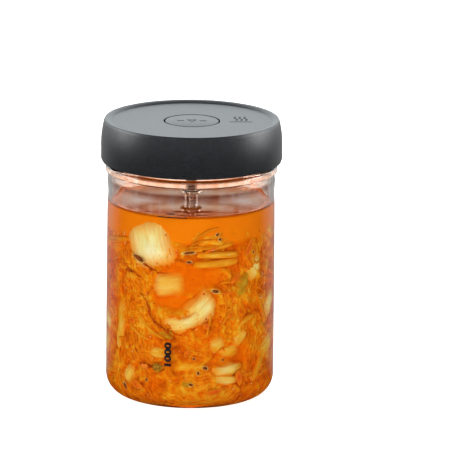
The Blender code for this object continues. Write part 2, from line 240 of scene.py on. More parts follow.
# %% Backdrop
world = bpy.data.worlds.new("studio")
bpy.context.scene.world = world
world.use_nodes = True
tree = world.node_tree
direction = add(tree, "ShaderNodeTexCoord").outputs["Generated"]
level = add(tree, "ShaderNodeVectorMath", {0: direction, 1: (1.0, 1.0, 0.0)}, operation="MULTIPLY")
level = add(tree, "ShaderNodeVectorMath", {0: level.outputs["Vector"]}, operation="NORMALIZE")
behind = axis_of(tree, level.outputs["Vector"], "Y")
strength = remap(tree, behind, 0.28, 0.60, 0.20, 1.50)
rise = axis_of(tree, direction, "Z")
for low, high, share in ((0.05, 0.20, 1.30), (0.46, 0.78, 0.25)):
    strength = calculate(tree, "MULTIPLY", strength, remap(tree, rise, low, high, 1.0, share))
tree.links.new(strength, tree.nodes["Background"].inputs["Strength"])
tree.nodes["Background"].inputs["Color"].default_value = (0.93, 1.0, 1.03, 1.0)
clear = add(tree, "ShaderNodeBackground", {"Color": WHITE, "Strength": 1.1})
dimmed = remap(tree, behind, 0.28, 0.60, 0.20, 0.45)
dim = add(tree, "ShaderNodeBackground", {"Color": WHITE, "Strength": dimmed})
path = add(tree, "ShaderNodeLightPath")
paper = tree.nodes["Background"].outputs[0]
lit = by_ray(tree, path, "Diffuse", paper, dim.outputs[0])
seen = by_ray(tree, path, "Camera", lit, clear.outputs[0])
tree.links.new(seen, tree.nodes["World Output"].inputs["Surface"])
print("backdrop ready")

# %% [markdown]
# ## The lights
#
# Large soft boxes light the food from the front and from above. Two more stand level with the jar's
# sides, only to draw a broad soft sheen on the dark plastic. A photographer would keep each light off the
# other surfaces with black card, and here each lamp's ray visibility does that.

# %% Lights
def softbox(name, place, size, power, sheen=True, glow=True):
    """A square soft light aimed at the jar. sheen is its mirror image, glow its plain light."""
    data = bpy.data.lights.new(name, "AREA")
    data.shape = "SQUARE"
    data.size = size
    data.energy = power
    lamp = bpy.data.objects.new(name, data)
    bpy.context.scene.collection.objects.link(lamp)
    lamp.location = place
    lamp.visible_glossy = sheen
    lamp.visible_diffuse = glow
    lamp.rotation_mode = "QUATERNION"
    lamp.rotation_quaternion = (Vector((0, 0, 0.09)) - Vector(place)).to_track_quat("-Z", "Y")
    return lamp


softbox("key_light", (-0.9, -2.3, 1.3), 1.6, 33.0, sheen=False)
softbox("fill_light", (1.1, -2.1, 1.1), 1.6, 13.0, sheen=False)
softbox("left_sheen", (-2.6, 0.3, 1.0), 1.6, 36.0, glow=False)
softbox("right_sheen", (2.6, 0.3, 0.9), 1.6, 44.0, glow=False)
softbox("top_light", (-0.2, 0.5, 2.3), 1.2, 30.0, sheen=False)

# %% Light paths
scene = bpy.context.scene
scene.view_settings.view_transform = "Standard"
scene.view_settings.look = "None"
scene.cycles.use_denoising = True
scene.cycles.caustics_reflective = False
scene.cycles.caustics_refractive = False
scene.cycles.max_bounces = 16
scene.cycles.transmission_bounces = 14
scene.cycles.transparent_max_bounces = 20
scene.cycles.glossy_bounces = 4
scene.cycles.diffuse_bounces = 3

# %% [markdown]
# ## Turning a round piece
#
# The glass, the lid, the button and the stem are all turned shapes. Each starts as one vertex that is
# extruded along the outline of a half section, and the spin tool carries that outline once round. The CAD
# solids have few sides, so finer ones replace them, on the same radii and heights.

# %% Turning tools
def arc(radius, height, rounding, start, end, steps):
    """Points on an arc about (radius, height), from start to end in degrees."""
    points = []
    for step in range(steps + 1):
        angle = math.radians(start + (end - start) * step / steps)
        points.append((radius + rounding * math.cos(angle), height + rounding * math.sin(angle)))
    return points


def smooth_line(points, steps):
    """A smooth line through the points, with steps between each two."""
    ends = [points[0], *points, points[-1]]
    line = [points[0]]
    for index in range(1, len(ends) - 2):
        before, start, end, after = (Vector(point) for point in ends[index - 1:index + 3])
        for step in range(1, steps + 1):
            t = step / steps
            place = 0.5 * (2 * start + (end - before) * t + (2 * before - 5 * start + 4 * end - after) * t * t
                           + (3 * start - before - 3 * end + after) * t * t * t)
            line.append(tuple(place))
    return line


def draw_outline(name, outline, closed):
    """An object in edit mode whose edges run along (radius, height) points in the XZ plane."""
    bpy.ops.mesh.primitive_plane_add(size=0.01, location=(0, 0, 0))
    item = bpy.context.object
    item.name = name
    item.data.name = name
    bpy.ops.object.mode_set(mode="EDIT")
    bpy.ops.mesh.select_all(action="SELECT")
    bpy.ops.mesh.merge(type="CENTER")
    bpy.ops.transform.translate(value=(outline[0][0], 0, outline[0][1]))
    trail = list(outline)
    if closed:
        trail.append(outline[0])
    for (radius, height), (next_radius, next_height) in zip(trail, trail[1:]):
        step = (next_radius - radius, 0, next_height - height)
        bpy.ops.mesh.extrude_region_move(TRANSFORM_OT_translate={"value": step})
    return item


def turned(name, outline, steps=144, closed=False, sharp=32):
    """A smooth round piece, spun from an outline."""
    item = draw_outline(name, outline, closed)
    bpy.ops.mesh.select_all(action="SELECT")
    bpy.ops.mesh.spin(steps=steps, angle=math.tau, center=(0, 0, 0), axis=(0, 0, 1))
    bpy.ops.mesh.select_all(action="SELECT")
    bpy.ops.mesh.remove_doubles(threshold=0.000002)
    bpy.ops.mesh.normals_make_consistent(inside=False)
    bpy.ops.object.mode_set(mode="OBJECT")
    bpy.ops.object.shade_smooth_by_angle(angle=math.radians(sharp))
    bpy.ops.object.select_all(action="DESELECT")
    return item


def finished(item, body, slot, material, *nodes):
    """Gives a finished piece its material, and lets it ride on its CAD body. slot is not used."""
    item.data.materials.clear()
    item.data.materials.append(material)
    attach(item, body)
    if nodes:
        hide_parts(*nodes)
    print(item.name, len(item.data.vertices), "vertices")


print("turning tools ready")

# %% [markdown]
# ## The glass
#
# Real glass bends the light twice, once at each face. A single face with a thin-wall shader would be
# simpler, but it can't show the thick foot and the bright bead, so the wall is a closed body. Shadow and
# plain rays pass straight through, as the room's light does through a clean jar.
#
# Over the brine the inside of the glass is stained by what has splashed on it, in bands of salmon and
# brown, and the orange food and brine show mirrored and bent in the thick glass and its bead. Both are
# painted as one tint by height, a stain with painted reflection in it, broken up by a noise that runs
# down the wall and fainter towards the jar's left and right sides. The glass also swallows a little light.

# %% Glass material
def clear_shader(tree, shader, tint):
    """Lets shadow and diffuse rays pass a transmissive shader."""
    path = add(tree, "ShaderNodeLightPath")
    through = add(tree, "ShaderNodeBsdfTransparent", {"Color": (*tint, 1.0)})
    diffuse = by_ray(tree, path, "Diffuse", shader.outputs["BSDF"], through.outputs["BSDF"])
    shadow = by_ray(tree, path, "Shadow", diffuse, through.outputs["BSDF"])
    tree.links.new(shadow, tree.nodes["Material Output"].inputs["Surface"])


CLEAN_GLASS = (0.985, 0.99, 0.985)
STAIN_BOTTOM = 0.1272
STAIN_TOP = 0.1500
# Painted reflection: these bands are a juice stain together with the orange food and brine mirrored in the
# glass, with a dark band and a near-white one.
STAIN = [
    (0.02, (0.92, 0.45, 0.25)), (0.17, (0.76, 0.32, 0.18)), (0.30, (0.96, 0.76, 0.62)),
    (0.42, (1.00, 0.95, 0.91)), (0.52, (0.80, 0.48, 0.36)), (0.60, (0.36, 0.10, 0.05)),
    (0.66, (0.90, 0.55, 0.36)), (0.74, (0.98, 0.82, 0.66)), (0.81, (0.84, 0.50, 0.34)),
    (0.94, (0.90, 0.49, 0.29)),
]

glass, tree, shader = new_material("clear_glass")
set_plain(shader, {"Roughness": 0.0, "Metallic": 0.0, "IOR": 1.5, "Transmission Weight": 1.0})
height = axis_of(tree, object_place(tree), "Z")
drips = noise_value(tree, object_place(tree, (1.0, 1.0, 0.15)), 220.0, 3.0)
above = remap(tree, height, 0.1262, 0.1284)
thickness = remap(tree, drips, 0.3, 0.7, 0.5, 1.0)
film = calculate(tree, "MULTIPLY", above, thickness)
across = axis_of(tree, object_place(tree), "X")
across = calculate(tree, "ABSOLUTE", across)
# The painted reflection and the stain fade towards the jar's left and right sides, but keep their full width
# on the bead.
thinner = remap(tree, across, 0.028, 0.046, 1.0, 0.65)
bead = remap(tree, height, 0.1455, 0.1466)
thinner = calculate(tree, "MAXIMUM", thinner, bead)
film = calculate(tree, "MULTIPLY", film, thinner)
# The tint by height: the stain and the painted reflection of the orange contents together.
stain = ramp(tree, remap(tree, height, STAIN_BOTTOM, STAIN_TOP), STAIN)
tint = blend_colors(tree, film, CLEAN_GLASS, stain)
tree.links.new(tint, shader.inputs["Base Color"])
swell = noise_value(tree, object_place(tree, (1.0, 1.0, 0.6)), 60.0, 2.0)
bump = add(tree, "ShaderNodeBump", {"Height": swell, "Strength": 0.12, "Distance": 0.0004})
tree.links.new(bump.outputs["Normal"], shader.inputs["Normal"])
clear_shader(tree, shader, (0.97, 0.98, 0.97))
absorb = add(tree, "ShaderNodeVolumeAbsorption", {"Color": (0.38, 0.46, 0.50, 1.0), "Density": 24.0})
tree.links.new(absorb.outputs["Volume"], tree.nodes["Material Output"].inputs["Volume"])
print("glass material ready")

# %% [markdown]
# ## The glass wall
#
# The side of the jar looks straight, but it narrows a little at half height and swells under a groove,
# and a round bead runs round it under the lid. A cylinder with loop cuts could be pushed into that shape.
# One closed outline, up the outside and down the inside, is easier to keep to the CAD sizes, and the spin
# tool carries it round.

# %% Glass jar
GLASS_RADIUS = 0.0540
FOOT_CORNER = 0.0135
BEAD_RADIUS = 0.0550
BEAD_BOTTOM = 0.1464
BEAD_TOP = 0.1517
BEAD_CORNER = 0.0013
BEAD_ROUNDING = 0.0022
COLLAR_RADIUS = 0.0529
RIM_HEIGHT = 0.1757
RIM_ROUNDING = 0.0013
INNER_RADIUS = 0.0512
INNER_CORNER = 0.0105
BASE_THICKNESS = 0.0035
NECK_RADIUS = 0.0496
OUTER_WAIST = ((0.0540, 0.0135), (0.05392, 0.0700), (0.0537, 0.1212), (0.0533, 0.1323), (0.05375, 0.1397),
               (0.05345, 0.1437), (0.0534, 0.1462))
INNER_WAIST = ((0.0512, 0.0140), (0.05115, 0.0700), (0.0510, 0.1212), (0.0506, 0.1323), (0.0510, 0.1397),
               (0.0508, 0.1437), (0.0507, 0.1465), (0.0502, 0.1495), (0.0496, 0.1530))

rim_center = RIM_HEIGHT - RIM_ROUNDING
outer = [(0.0, 0.0)]
outer += arc(GLASS_RADIUS - FOOT_CORNER, FOOT_CORNER, FOOT_CORNER, -90, 0, 16)
outer += smooth_line(OUTER_WAIST, 8)[1:]
outer += arc(BEAD_RADIUS - BEAD_CORNER, BEAD_BOTTOM + BEAD_CORNER, BEAD_CORNER, -78, 0, 8)
outer += arc(BEAD_RADIUS - BEAD_ROUNDING, BEAD_TOP - BEAD_ROUNDING, BEAD_ROUNDING, 0, 88, 8)
outer += arc(COLLAR_RADIUS - RIM_ROUNDING, rim_center, RIM_ROUNDING, 0, 90, 4)
inner = arc(NECK_RADIUS + RIM_ROUNDING, rim_center, RIM_ROUNDING, 90, 180, 4)
inner += list(reversed(smooth_line(INNER_WAIST, 8)))
inner += arc(INNER_RADIUS - INNER_CORNER, BASE_THICKNESS + INNER_CORNER, INNER_CORNER, 0, -90, 14)[1:]
inner += [(0.0, BASE_THICKNESS)]
glass_wall = turned("glass_wall", outer + inner)
finished(glass_wall, "jar", "glass", glass, "glass_jar")

# %% [markdown]
# ## Printed marks on the glass
#
# A black line marks one litre, with a small number over it, and a bold number runs up the lower part.
# They are printed on the glass. They could be painted in the glass material by a mask, but thin meshes
# have sharper edges. Each is drawn flat, made a mesh and wrapped round the outside of the wall.

# %% Marks on the glass
MARK_LIFT = 0.00005


def number_mark(name, text, length, tall, bold):
    """A number as a flat mesh in the XY plane, centred, with the given length and height."""
    bpy.ops.object.text_add(location=(0, 0, 0))
    item = bpy.context.object
    item.name = name
    item.data.body = text
    item.data.size = 0.01
    item.data.offset = bold
    item.data.extrude = 0.0001
    bpy.ops.object.convert(target="MESH")
    item = bpy.context.object
    corners = [vertex.co.copy() for vertex in item.data.vertices]
    low = Vector([min(corner[axis] for corner in corners) for axis in range(3)])
    high = Vector([max(corner[axis] for corner in corners) for axis in range(3)])
    for vertex in item.data.vertices:
        share = vertex.co - (low + high) / 2
        vertex.co = (share.x * length / (high.x - low.x), share.y * tall / (high.y - low.y), share.z)
    return item


def wall_radius(height):
    """The outer radius of the glass at a height."""
    line = smooth_line(OUTER_WAIST, 8)
    for (low_radius, low), (high_radius, high) in zip(line, line[1:]):
        if low <= height <= high:
            return low_radius + (high_radius - low_radius) * (height - low) / (high - low)
    return line[0][0]


def wrapped(item, angle, height, turn):
    """Bends a flat mark round the outside of the glass."""
    spin = Matrix.Rotation(math.radians(turn), 4, "Z")
    for vertex in item.data.vertices:
        flat = spin @ vertex.co
        lift = MARK_LIFT if vertex.co.z > 0 else MARK_LIFT * 0.4
        radius = wall_radius(height + flat.y) + lift
        swing = math.radians(angle) + flat.x / GLASS_RADIUS
        vertex.co = (radius * math.sin(swing), -radius * math.cos(swing), height + flat.y)
    return item


print("mark tools ready")

# %% Fill line and numbers
bpy.ops.mesh.primitive_grid_add(x_subdivisions=40, y_subdivisions=1, size=1.0)
fill_line = bpy.context.object
fill_line.name = "fill_line"
fill_line.scale = (0.0195, 0.00070, 1.0)
bpy.ops.object.transform_apply(scale=True)
solid = fill_line.modifiers.new("thicken", "SOLIDIFY")
solid.thickness = 0.0002
solid.offset = 0.0
bpy.ops.object.modifier_apply(modifier=solid.name)
wrapped(fill_line, -13, 0.1277, 0)
small_number = wrapped(number_mark("small_number", "1000", 0.0052, 0.0016, 0.0002), -14, 0.1300, 0)
tall_number = wrapped(number_mark("tall_number", "1000", 0.0158, 0.0046, 0.0006), -15, 0.0382, 90)
print("marks:", fill_line.name, small_number.name, tall_number.name)

# %% Ink
ink, tree, shader = new_material("black_ink")
set_plain(shader, {"Roughness": 0.45, "IOR": 1.45})
fleck = noise_value(tree, object_place(tree), 900.0, 2.0)
tree.links.new(ramp(tree, fleck, [(0.3, (0.006, 0.005, 0.005)), (0.7, (0.020, 0.014, 0.012))]),
               shader.inputs["Base Color"])
for mark in (fill_line, small_number, tall_number):
    bpy.ops.object.select_all(action="DESELECT")
    finished(mark, "jar", "glass", ink)

# %% [markdown]
# ## The brine
#
# The brine reaches just into the glass wall, so that no layer of air shows between them. It swallows blue
# light within a few millimetres and green light more slowly. That is what turns pale cabbage orange as it
# sinks deeper. A plain orange body would hide the cabbage, so it is a clear one that absorbs light along
# its way. At the glass its surface climbs a little.

# %% Brine
BRINE_REACH = 0.00015
BRINE_LEVEL = 0.1272
MENISCUS = 0.0009

brine_corner = INNER_CORNER + BRINE_REACH
brine_outline = [(0.0, BASE_THICKNESS - BRINE_REACH)]
brine_outline += arc(INNER_RADIUS - INNER_CORNER, BASE_THICKNESS + INNER_CORNER, brine_corner, -90, 0, 14)
wall = [point for point in smooth_line(INNER_WAIST, 8) if point[1] < BRINE_LEVEL]
brine_outline += [(radius + BRINE_REACH, height) for radius, height in wall[1:]]
edge = wall[-1][0]
brine_outline += [(edge + BRINE_REACH, BRINE_LEVEL + MENISCUS), (edge - 0.0001, BRINE_LEVEL + MENISCUS)]
brine_outline += [(edge - 0.0004, BRINE_LEVEL + 0.0005), (edge - 0.0009, BRINE_LEVEL + 0.0002)]
brine_outline += [(edge - 0.0020, BRINE_LEVEL), (edge - 0.0060, BRINE_LEVEL)]
brine_outline += [(0.020, BRINE_LEVEL), (0.0, BRINE_LEVEL)]
brine = turned("brine", brine_outline, sharp=50)
print("brine up to", BRINE_LEVEL, "m")

# %% Brine material
brine_material, tree, shader = new_material("orange_brine")
set_plain(shader, {"Base Color": (1.0, 1.0, 1.0), "Roughness": 0.0, "Metallic": 0.0, "IOR": 1.34,
                   "Transmission Weight": 1.0})
ripple = noise_value(tree, object_place(tree), 45.0, 2.0)
bump = add(tree, "ShaderNodeBump", {"Height": ripple, "Strength": 0.15, "Distance": 0.0004})
tree.links.new(bump.outputs["Normal"], shader.inputs["Normal"])
clear_shader(tree, shader, (1.0, 1.0, 1.0))
absorb = add(tree, "ShaderNodeVolumeAbsorption", {"Color": (0.99, 0.88, 0.10, 1.0), "Density": 190.0})
tree.links.new(absorb.outputs["Volume"], tree.nodes["Material Output"].inputs["Volume"])
finished(brine, "jar", "pickle", brine_material)

# %% [markdown]
# ## Dark plastic
#
# The lid and the button are the same dark grey plastic with a fine sandy grain. One node group makes the
# grain, and both materials use it. A picture of the grain would do too, but noise has no seam and no
# edge.

# %% Plastic
grain = bpy.data.node_groups.new("plastic_grain", "ShaderNodeTree")
grain.interface.new_socket("Scale", in_out="INPUT", socket_type="NodeSocketFloat")
grain.interface.new_socket("Normal", in_out="OUTPUT", socket_type="NodeSocketVector")
grain.interface.new_socket("Mottle", in_out="OUTPUT", socket_type="NodeSocketFloat")
entry = grain.nodes.new("NodeGroupInput")
leave = grain.nodes.new("NodeGroupOutput")
where = object_place(grain)
sand = noise_value(grain, where, 1800.0, 3.0, 0.6)
grain.links.new(entry.outputs["Scale"], sand.node.inputs["Scale"])
bump = add(grain, "ShaderNodeBump", {"Height": sand, "Strength": 0.7, "Distance": 0.00014})
mottle = remap(grain, sand, 0.3, 0.7)
grain.links.new(bump.outputs["Normal"], leave.inputs["Normal"])
grain.links.new(mottle, leave.inputs["Mottle"])


def plastic(name, dark, light, roughness, scale, gloss=0.80):
    """Dark plastic whose colour and surface follow the sandy grain."""
    material, tree, shader = new_material(name)
    set_plain(shader, {"Roughness": roughness, "Metallic": 0.0, "IOR": 1.5, "Specular IOR Level": gloss})
    group = add(tree, "ShaderNodeGroup", node_tree=grain)
    group.inputs["Scale"].default_value = scale
    color = blend_colors(tree, group.outputs["Mottle"], dark, light)
    tree.links.new(color, shader.inputs["Base Color"])
    tree.links.new(group.outputs["Normal"], shader.inputs["Normal"])
    return material


lid_plastic = plastic("lid_plastic", (0.004, 0.005, 0.006), (0.022, 0.024, 0.028), 0.38, 1100.0)
button_plastic = plastic("button_plastic", (0.004, 0.005, 0.006), (0.022, 0.024, 0.028), 0.38, 1100.0)
print("plastic ready")

# %% [markdown]
# ## The lid
#
# The lid's side runs straight up and then curves in towards the raised rim. Inside the rim the top is
# sunk a little, and the button lies level with it in a round well, with a thin gap round it. Like the
# glass, the lid could be pushed into shape from a cylinder, and is spun from an outline for the same
# reason.

# %% Lid
LID_BOTTOM = 0.1534
LID_LOWER_RADIUS = 0.0570
LID_RADIUS = 0.0580
LID_CHAMFER_TOP = 0.1551
LID_STRAIGHT_TOP = 0.1646
LID_TOP = 0.1803
LID_TOP_RADIUS = 0.0558
LID_EDGE_ROUNDING = 0.0006
LID_RIM_INNER = 0.0548
LID_FLOOR = 0.1788
LID_FLOOR_RADIUS = 0.0510
LID_UNDERSIDE = 0.1761
SKIRT_LOWER_RADIUS = 0.0556
SKIRT_UPPER_RADIUS = 0.0536
SKIRT_STEP = 0.1575
BUTTON_RADIUS = 0.0171
BUTTON_GAP = 0.0005
WELL_FLOOR = 0.1692
GUIDE_RADIUS = 0.0074
GUIDE_BOTTOM = 0.1586
STEM_RADIUS = 0.0035
STEM_CLEARANCE = 0.0004
print("lid", 2 * LID_RADIUS, "m wide")

# %% Lid shell
hole = BUTTON_RADIUS + BUTTON_GAP + 0.0005
bore = STEM_RADIUS + STEM_CLEARANCE
rise = LID_TOP - LID_STRAIGHT_TOP
lid_outline = [(LID_LOWER_RADIUS, LID_BOTTOM), (LID_LOWER_RADIUS + 0.0004, LID_BOTTOM + 0.0001)]
lid_outline += [(LID_RADIUS - 0.0001, LID_CHAMFER_TOP - 0.0003), (LID_RADIUS, LID_CHAMFER_TOP)]
for step in range(16):
    share = step / 16
    crowned = LID_RADIUS - (LID_RADIUS - LID_TOP_RADIUS) * share ** 2
    lid_outline.append((crowned, LID_STRAIGHT_TOP + rise * share))
edge_radius = LID_TOP_RADIUS - LID_EDGE_ROUNDING
lid_outline += arc(edge_radius, LID_TOP - LID_EDGE_ROUNDING, LID_EDGE_ROUNDING, 0, 90, 5)
lid_outline += [(LID_RIM_INNER, LID_TOP)]
for step in range(1, 9):
    swing = math.radians(90 * step / 8)
    reach = LID_RIM_INNER - LID_FLOOR_RADIUS
    drop = LID_TOP - LID_FLOOR
    lid_outline.append((LID_RIM_INNER - reach * math.sin(swing), LID_FLOOR + drop * math.cos(swing) ** 2))
lid_outline += [(hole + 0.0002, LID_FLOOR), (hole, LID_FLOOR - 0.0002)]
lid_outline += [(hole, WELL_FLOOR), (bore, WELL_FLOOR), (bore, GUIDE_BOTTOM)]
lid_outline += [(GUIDE_RADIUS, GUIDE_BOTTOM), (GUIDE_RADIUS, WELL_FLOOR - 0.0020)]
lid_outline += [(hole + 0.0020, WELL_FLOOR - 0.0020), (hole + 0.0020, LID_UNDERSIDE)]
lid_outline += [(SKIRT_UPPER_RADIUS, LID_UNDERSIDE), (SKIRT_UPPER_RADIUS, SKIRT_STEP)]
lid_outline += [(SKIRT_LOWER_RADIUS, SKIRT_STEP - 0.0012), (SKIRT_LOWER_RADIUS, LID_BOTTOM)]
lid_shell = turned("lid_shell", lid_outline, closed=True)
finished(lid_shell, "jar", "lid_plastic", lid_plastic, "lid")

# %% [markdown]
# ## The button
#
# The button is a round cap, with a thin skirt that guides it in the well and a boss that meets the stem.
# It could be drawn as one disc, but pressed down its side shows in the well. It slides by itself, so it
# rides its own body.

# %% Button
BUTTON_PLATE = 0.0025
BUTTON_WALL = 0.0015
BUTTON_SKIRT_BOTTOM = 0.1733
BUTTON_BOSS_RADIUS = 0.0055
BUTTON_BOSS_BOTTOM = 0.1730
BUTTON_EDGE = 0.0004

under = LID_FLOOR - BUTTON_PLATE
button_outline = [(0.0, LID_FLOOR), (BUTTON_RADIUS - BUTTON_EDGE, LID_FLOOR)]
button_outline += arc(BUTTON_RADIUS - BUTTON_EDGE, LID_FLOOR - BUTTON_EDGE, BUTTON_EDGE, 90, 0, 4)[1:]
button_outline += [(BUTTON_RADIUS, BUTTON_SKIRT_BOTTOM), (BUTTON_RADIUS - BUTTON_WALL, BUTTON_SKIRT_BOTTOM)]
button_outline += [(BUTTON_RADIUS - BUTTON_WALL, under), (BUTTON_BOSS_RADIUS, under)]
button_outline += [(BUTTON_BOSS_RADIUS, BUTTON_BOSS_BOTTOM), (0.0, BUTTON_BOSS_BOTTOM)]
button_cap = turned("button_cap", button_outline, steps=96)
finished(button_cap, "button", "button_plastic", button_plastic, "push_button")

# %% [markdown]
# ## Raised marks on the lid and the button
#
# The lid carries three wavy lines over a straight one. The button carries a plain arrow head between two
# bars. They are fine raised strokes. A bump in the plastic could draw them, but real strokes catch the
# light at every angle. Each is a line of extruded points that gets a round section and is pressed flat.

# %% Marks on the lid
def stroke(name, points, thickness, closed=False):
    """A flat raised stroke through (x, y) points on the lid's top."""
    item = draw_outline(name, points, closed)
    bpy.ops.mesh.select_all(action="SELECT")
    bpy.ops.mesh.remove_doubles(threshold=0.00001)
    bpy.ops.object.mode_set(mode="OBJECT")
    bpy.ops.object.convert(target="CURVE")
    item = bpy.context.object
    item.data.bevel_depth = thickness
    item.data.bevel_resolution = 2
    item.data.use_fill_caps = True
    bpy.ops.object.convert(target="MESH")
    item = bpy.context.object
    for vertex in item.data.vertices:
        x, y, z = vertex.co
        vertex.co = (x, z, LID_FLOOR + 0.00002 - y * 0.12)
    bpy.ops.object.select_all(action="DESELECT")
    return item


print("stroke tool ready")

# %% Strokes
WAVE_PLACES = (0.0281, 0.0312, 0.0343)
WAVE_STEPS = 12

lid_marks = []
for across in WAVE_PLACES:
    wave = []
    for step in range(WAVE_STEPS + 1):
        share = step / WAVE_STEPS
        wave.append((across + 0.0009 * math.sin(share * math.tau), 0.0010 + 0.011 * share))
    lid_marks.append(stroke("heat_wave", wave, 0.00050))
line = [(0.0240 + 0.0145 * step / 6, -0.0022) for step in range(7)]
lid_marks.append(stroke("heat_line", line, 0.00060))
button_marks = [stroke("bar", [(side * 0.0094, 0.0), (side * 0.0050, 0.0)], 0.00075) for side in (-1, 1)]
button_marks.append(stroke("arrow", [(-0.0028, 0.0024), (0.0028, 0.0024), (0.0, -0.0028)], 0.00075, True))
print("strokes:", len(lid_marks), "on the lid,", len(button_marks), "on the button")

# %% Joining the marks
for name, marks in (("lid_marks", lid_marks), ("button_marks", button_marks)):
    for item in marks:
        item.select_set(True)
    bpy.context.view_layer.objects.active = marks[0]
    bpy.ops.object.join()
    bpy.ops.object.shade_smooth()
    marks[0].name = name
    marks[0].data.name = name
    bpy.ops.object.select_all(action="DESELECT")
mark_plastic = plastic("mark_plastic", (0.003, 0.003, 0.004), (0.010, 0.011, 0.012), 0.60, 1500.0, 0.10)
finished(lid_marks[0], "jar", "lid_plastic", mark_plastic)
finished(button_marks[0], "button", "button_plastic", mark_plastic)

# %% [markdown]
# ## The valve stem
#
# A steel rod runs down from the button. Over the brine it carries a round-edged disc, and below that a
# thicker tip. Fine rings from the lathe go round it. Real rings would need thousands of faces, so a noise
# that is squeezed along the rod makes them in the roughness and the colour.

# %% Valve stem
STEM_TOP = 0.1726
DISC_RADIUS = 0.00705
DISC_TOP = 0.1344
DISC_BOTTOM = 0.1312
DISC_ROUNDING = 0.0012
TIP_RADIUS = 0.0048
TIP_BOTTOM = 0.1228
TIP_CHAMFER = 0.0008

edge = DISC_RADIUS - DISC_ROUNDING
stem_outline = [(0.0, STEM_TOP), (STEM_RADIUS, STEM_TOP), (STEM_RADIUS, DISC_TOP)]
stem_outline += arc(edge, DISC_TOP - DISC_ROUNDING, DISC_ROUNDING, 90, 0, 6)
stem_outline += arc(edge, DISC_BOTTOM + DISC_ROUNDING, DISC_ROUNDING, 0, -90, 6)
stem_outline += [(TIP_RADIUS, DISC_BOTTOM), (TIP_RADIUS, TIP_BOTTOM + TIP_CHAMFER)]
stem_outline += [(TIP_RADIUS - TIP_CHAMFER, TIP_BOTTOM), (0.0, TIP_BOTTOM)]
stem = turned("steel_stem", stem_outline, steps=64)
print("stem", STEM_TOP - TIP_BOTTOM, "m long")

# %% Steel
steel, tree, shader = new_material("turned_steel")
set_plain(shader, {"Metallic": 1.0})
rings = noise_value(tree, object_place(tree, (8.0, 8.0, 900.0)), 6.0, 2.0)
tree.links.new(ramp(tree, rings, [(0.3, (0.78, 0.78, 0.78)), (0.7, (0.96, 0.96, 0.96))]),
               shader.inputs["Base Color"])
tree.links.new(remap(tree, rings, 0.3, 0.7, 0.22, 0.38), shader.inputs["Roughness"])
finished(stem, "button", "steel", steel, "valve_stem")

# %% [markdown]
# ## Blanks for the cut vegetables
#
# The pickle has three kinds of cut piece: thick white ribs, thin crumpled leaves and narrow strips. Each
# piece could be sculpted by itself, but there are well over a hundred. So each kind is modelled once as a
# flat blank, a fine grid that is thickened, and the pieces are copies of it. A ball is the blank of all
# that is small and round, with fewer faces for the specks, which are copied by the hundred.

# %% Blanks
def blank(name, columns, rows):
    """A flat slab from -1 to 1 each way, made of two grids joined round the edge."""
    bpy.ops.mesh.primitive_grid_add(x_subdivisions=columns, y_subdivisions=rows, size=2.0, location=(0, 0, 0))
    item = bpy.context.object
    item.name = name
    solid = item.modifiers.new("thicken", "SOLIDIFY")
    solid.thickness = 2.0
    solid.offset = 0.0
    bpy.ops.object.modifier_apply(modifier=solid.name)
    bpy.ops.object.mode_set(mode="EDIT")
    bpy.ops.mesh.select_all(action="SELECT")
    bpy.ops.mesh.normals_make_consistent(inside=False)
    bpy.ops.object.mode_set(mode="OBJECT")
    bpy.ops.object.shade_smooth()
    bpy.ops.object.select_all(action="DESELECT")
    return item


def round_blank(name, segments, rings):
    """A small ball, for gas pockets, patches, flakes and bubbles."""
    bpy.ops.mesh.primitive_uv_sphere_add(segments=segments, ring_count=rings, radius=1.0, location=(0, 0, 0))
    item = bpy.context.object
    item.name = name
    bpy.ops.object.shade_smooth()
    bpy.ops.object.select_all(action="DESELECT")
    return item


BLANKS = {
    "rib": blank("rib_blank", 30, 22),
    "leaf": blank("leaf_blank", 30, 26),
    "strip": blank("strip_blank", 30, 6),
    "drop": round_blank("drop_blank", 20, 10),
    "speck": round_blank("speck_blank", 10, 5),
}
print({kind: len(item.data.vertices) for kind, item in BLANKS.items()})

# %% [markdown]
# ## Kinds of piece
#
# Each kind has a usual size, a slow wave across the slab, a roundness of its corners and a bow that sinks
# its edges into the brine. The heights say how far up and down the heap may reach.

# %% Kinds of piece
PICKLE_BOTTOM = 0.0041
PICKLE_TOP = 0.1162
HIGHEST = 0.1225
PIECE_REACH = INNER_RADIUS - 0.0006
INSET_STEP = 0.00006
INSET_STEPS = 13
KINDS = {
    "rib": dict(size=(0.026, 0.017, 0.0042), wave=0.0004, pitch=0.020, round=0.26, bow=0.0042),
    "leaf": dict(size=(0.026, 0.021, 0.0024), wave=0.0011, pitch=0.011, round=0.85, bow=0.0026),
    "strip": dict(size=(0.030, 0.0042, 0.0034), wave=0.0003, pitch=0.016, round=0.35, bow=0.0012),
    "drop": dict(size=(0.003, 0.002, 0.0010), wave=0.0, pitch=0.010, round=0.0, bow=0.0),
    "speck": dict(size=(0.001, 0.001, 0.0004), wave=0.0, pitch=0.010, round=0.0, bow=0.0),
}


def reach_at(height):
    """The largest radius a piece may have at a height, inside the round corner."""
    drop = BASE_THICKNESS + INNER_CORNER - height
    if drop <= 0:
        return PIECE_REACH
    drop = min(drop, INNER_CORNER)
    return PIECE_REACH - INNER_CORNER + math.sqrt(INNER_CORNER ** 2 - drop ** 2)


print("kinds:", list(KINDS))

# %% [markdown]
# ## Relief of a piece
#
# Cabbage ribs are ridged along their length and torn across their ends, and leaves are crumpled like wet
# paper. A Displace modifier could push a texture into the blank, but the shaping must also follow the
# piece's own rim. So a short sum moves each point of the blank on the flat, and notes how much of a crest
# the point is on. Blender seeds its vector noise from the clock, so it gets a fixed seed here, and the
# folds are the same in each run.

# %% Relief of a piece
NOISE_SEED = 41

noise.seed_set(NOISE_SEED)


def ridge(place, offset):
    """1 along the crest lines of a noise, falling to 0 between them."""
    return max(0.0, 1.0 - abs(noise.noise(place + offset)) * 2.4)


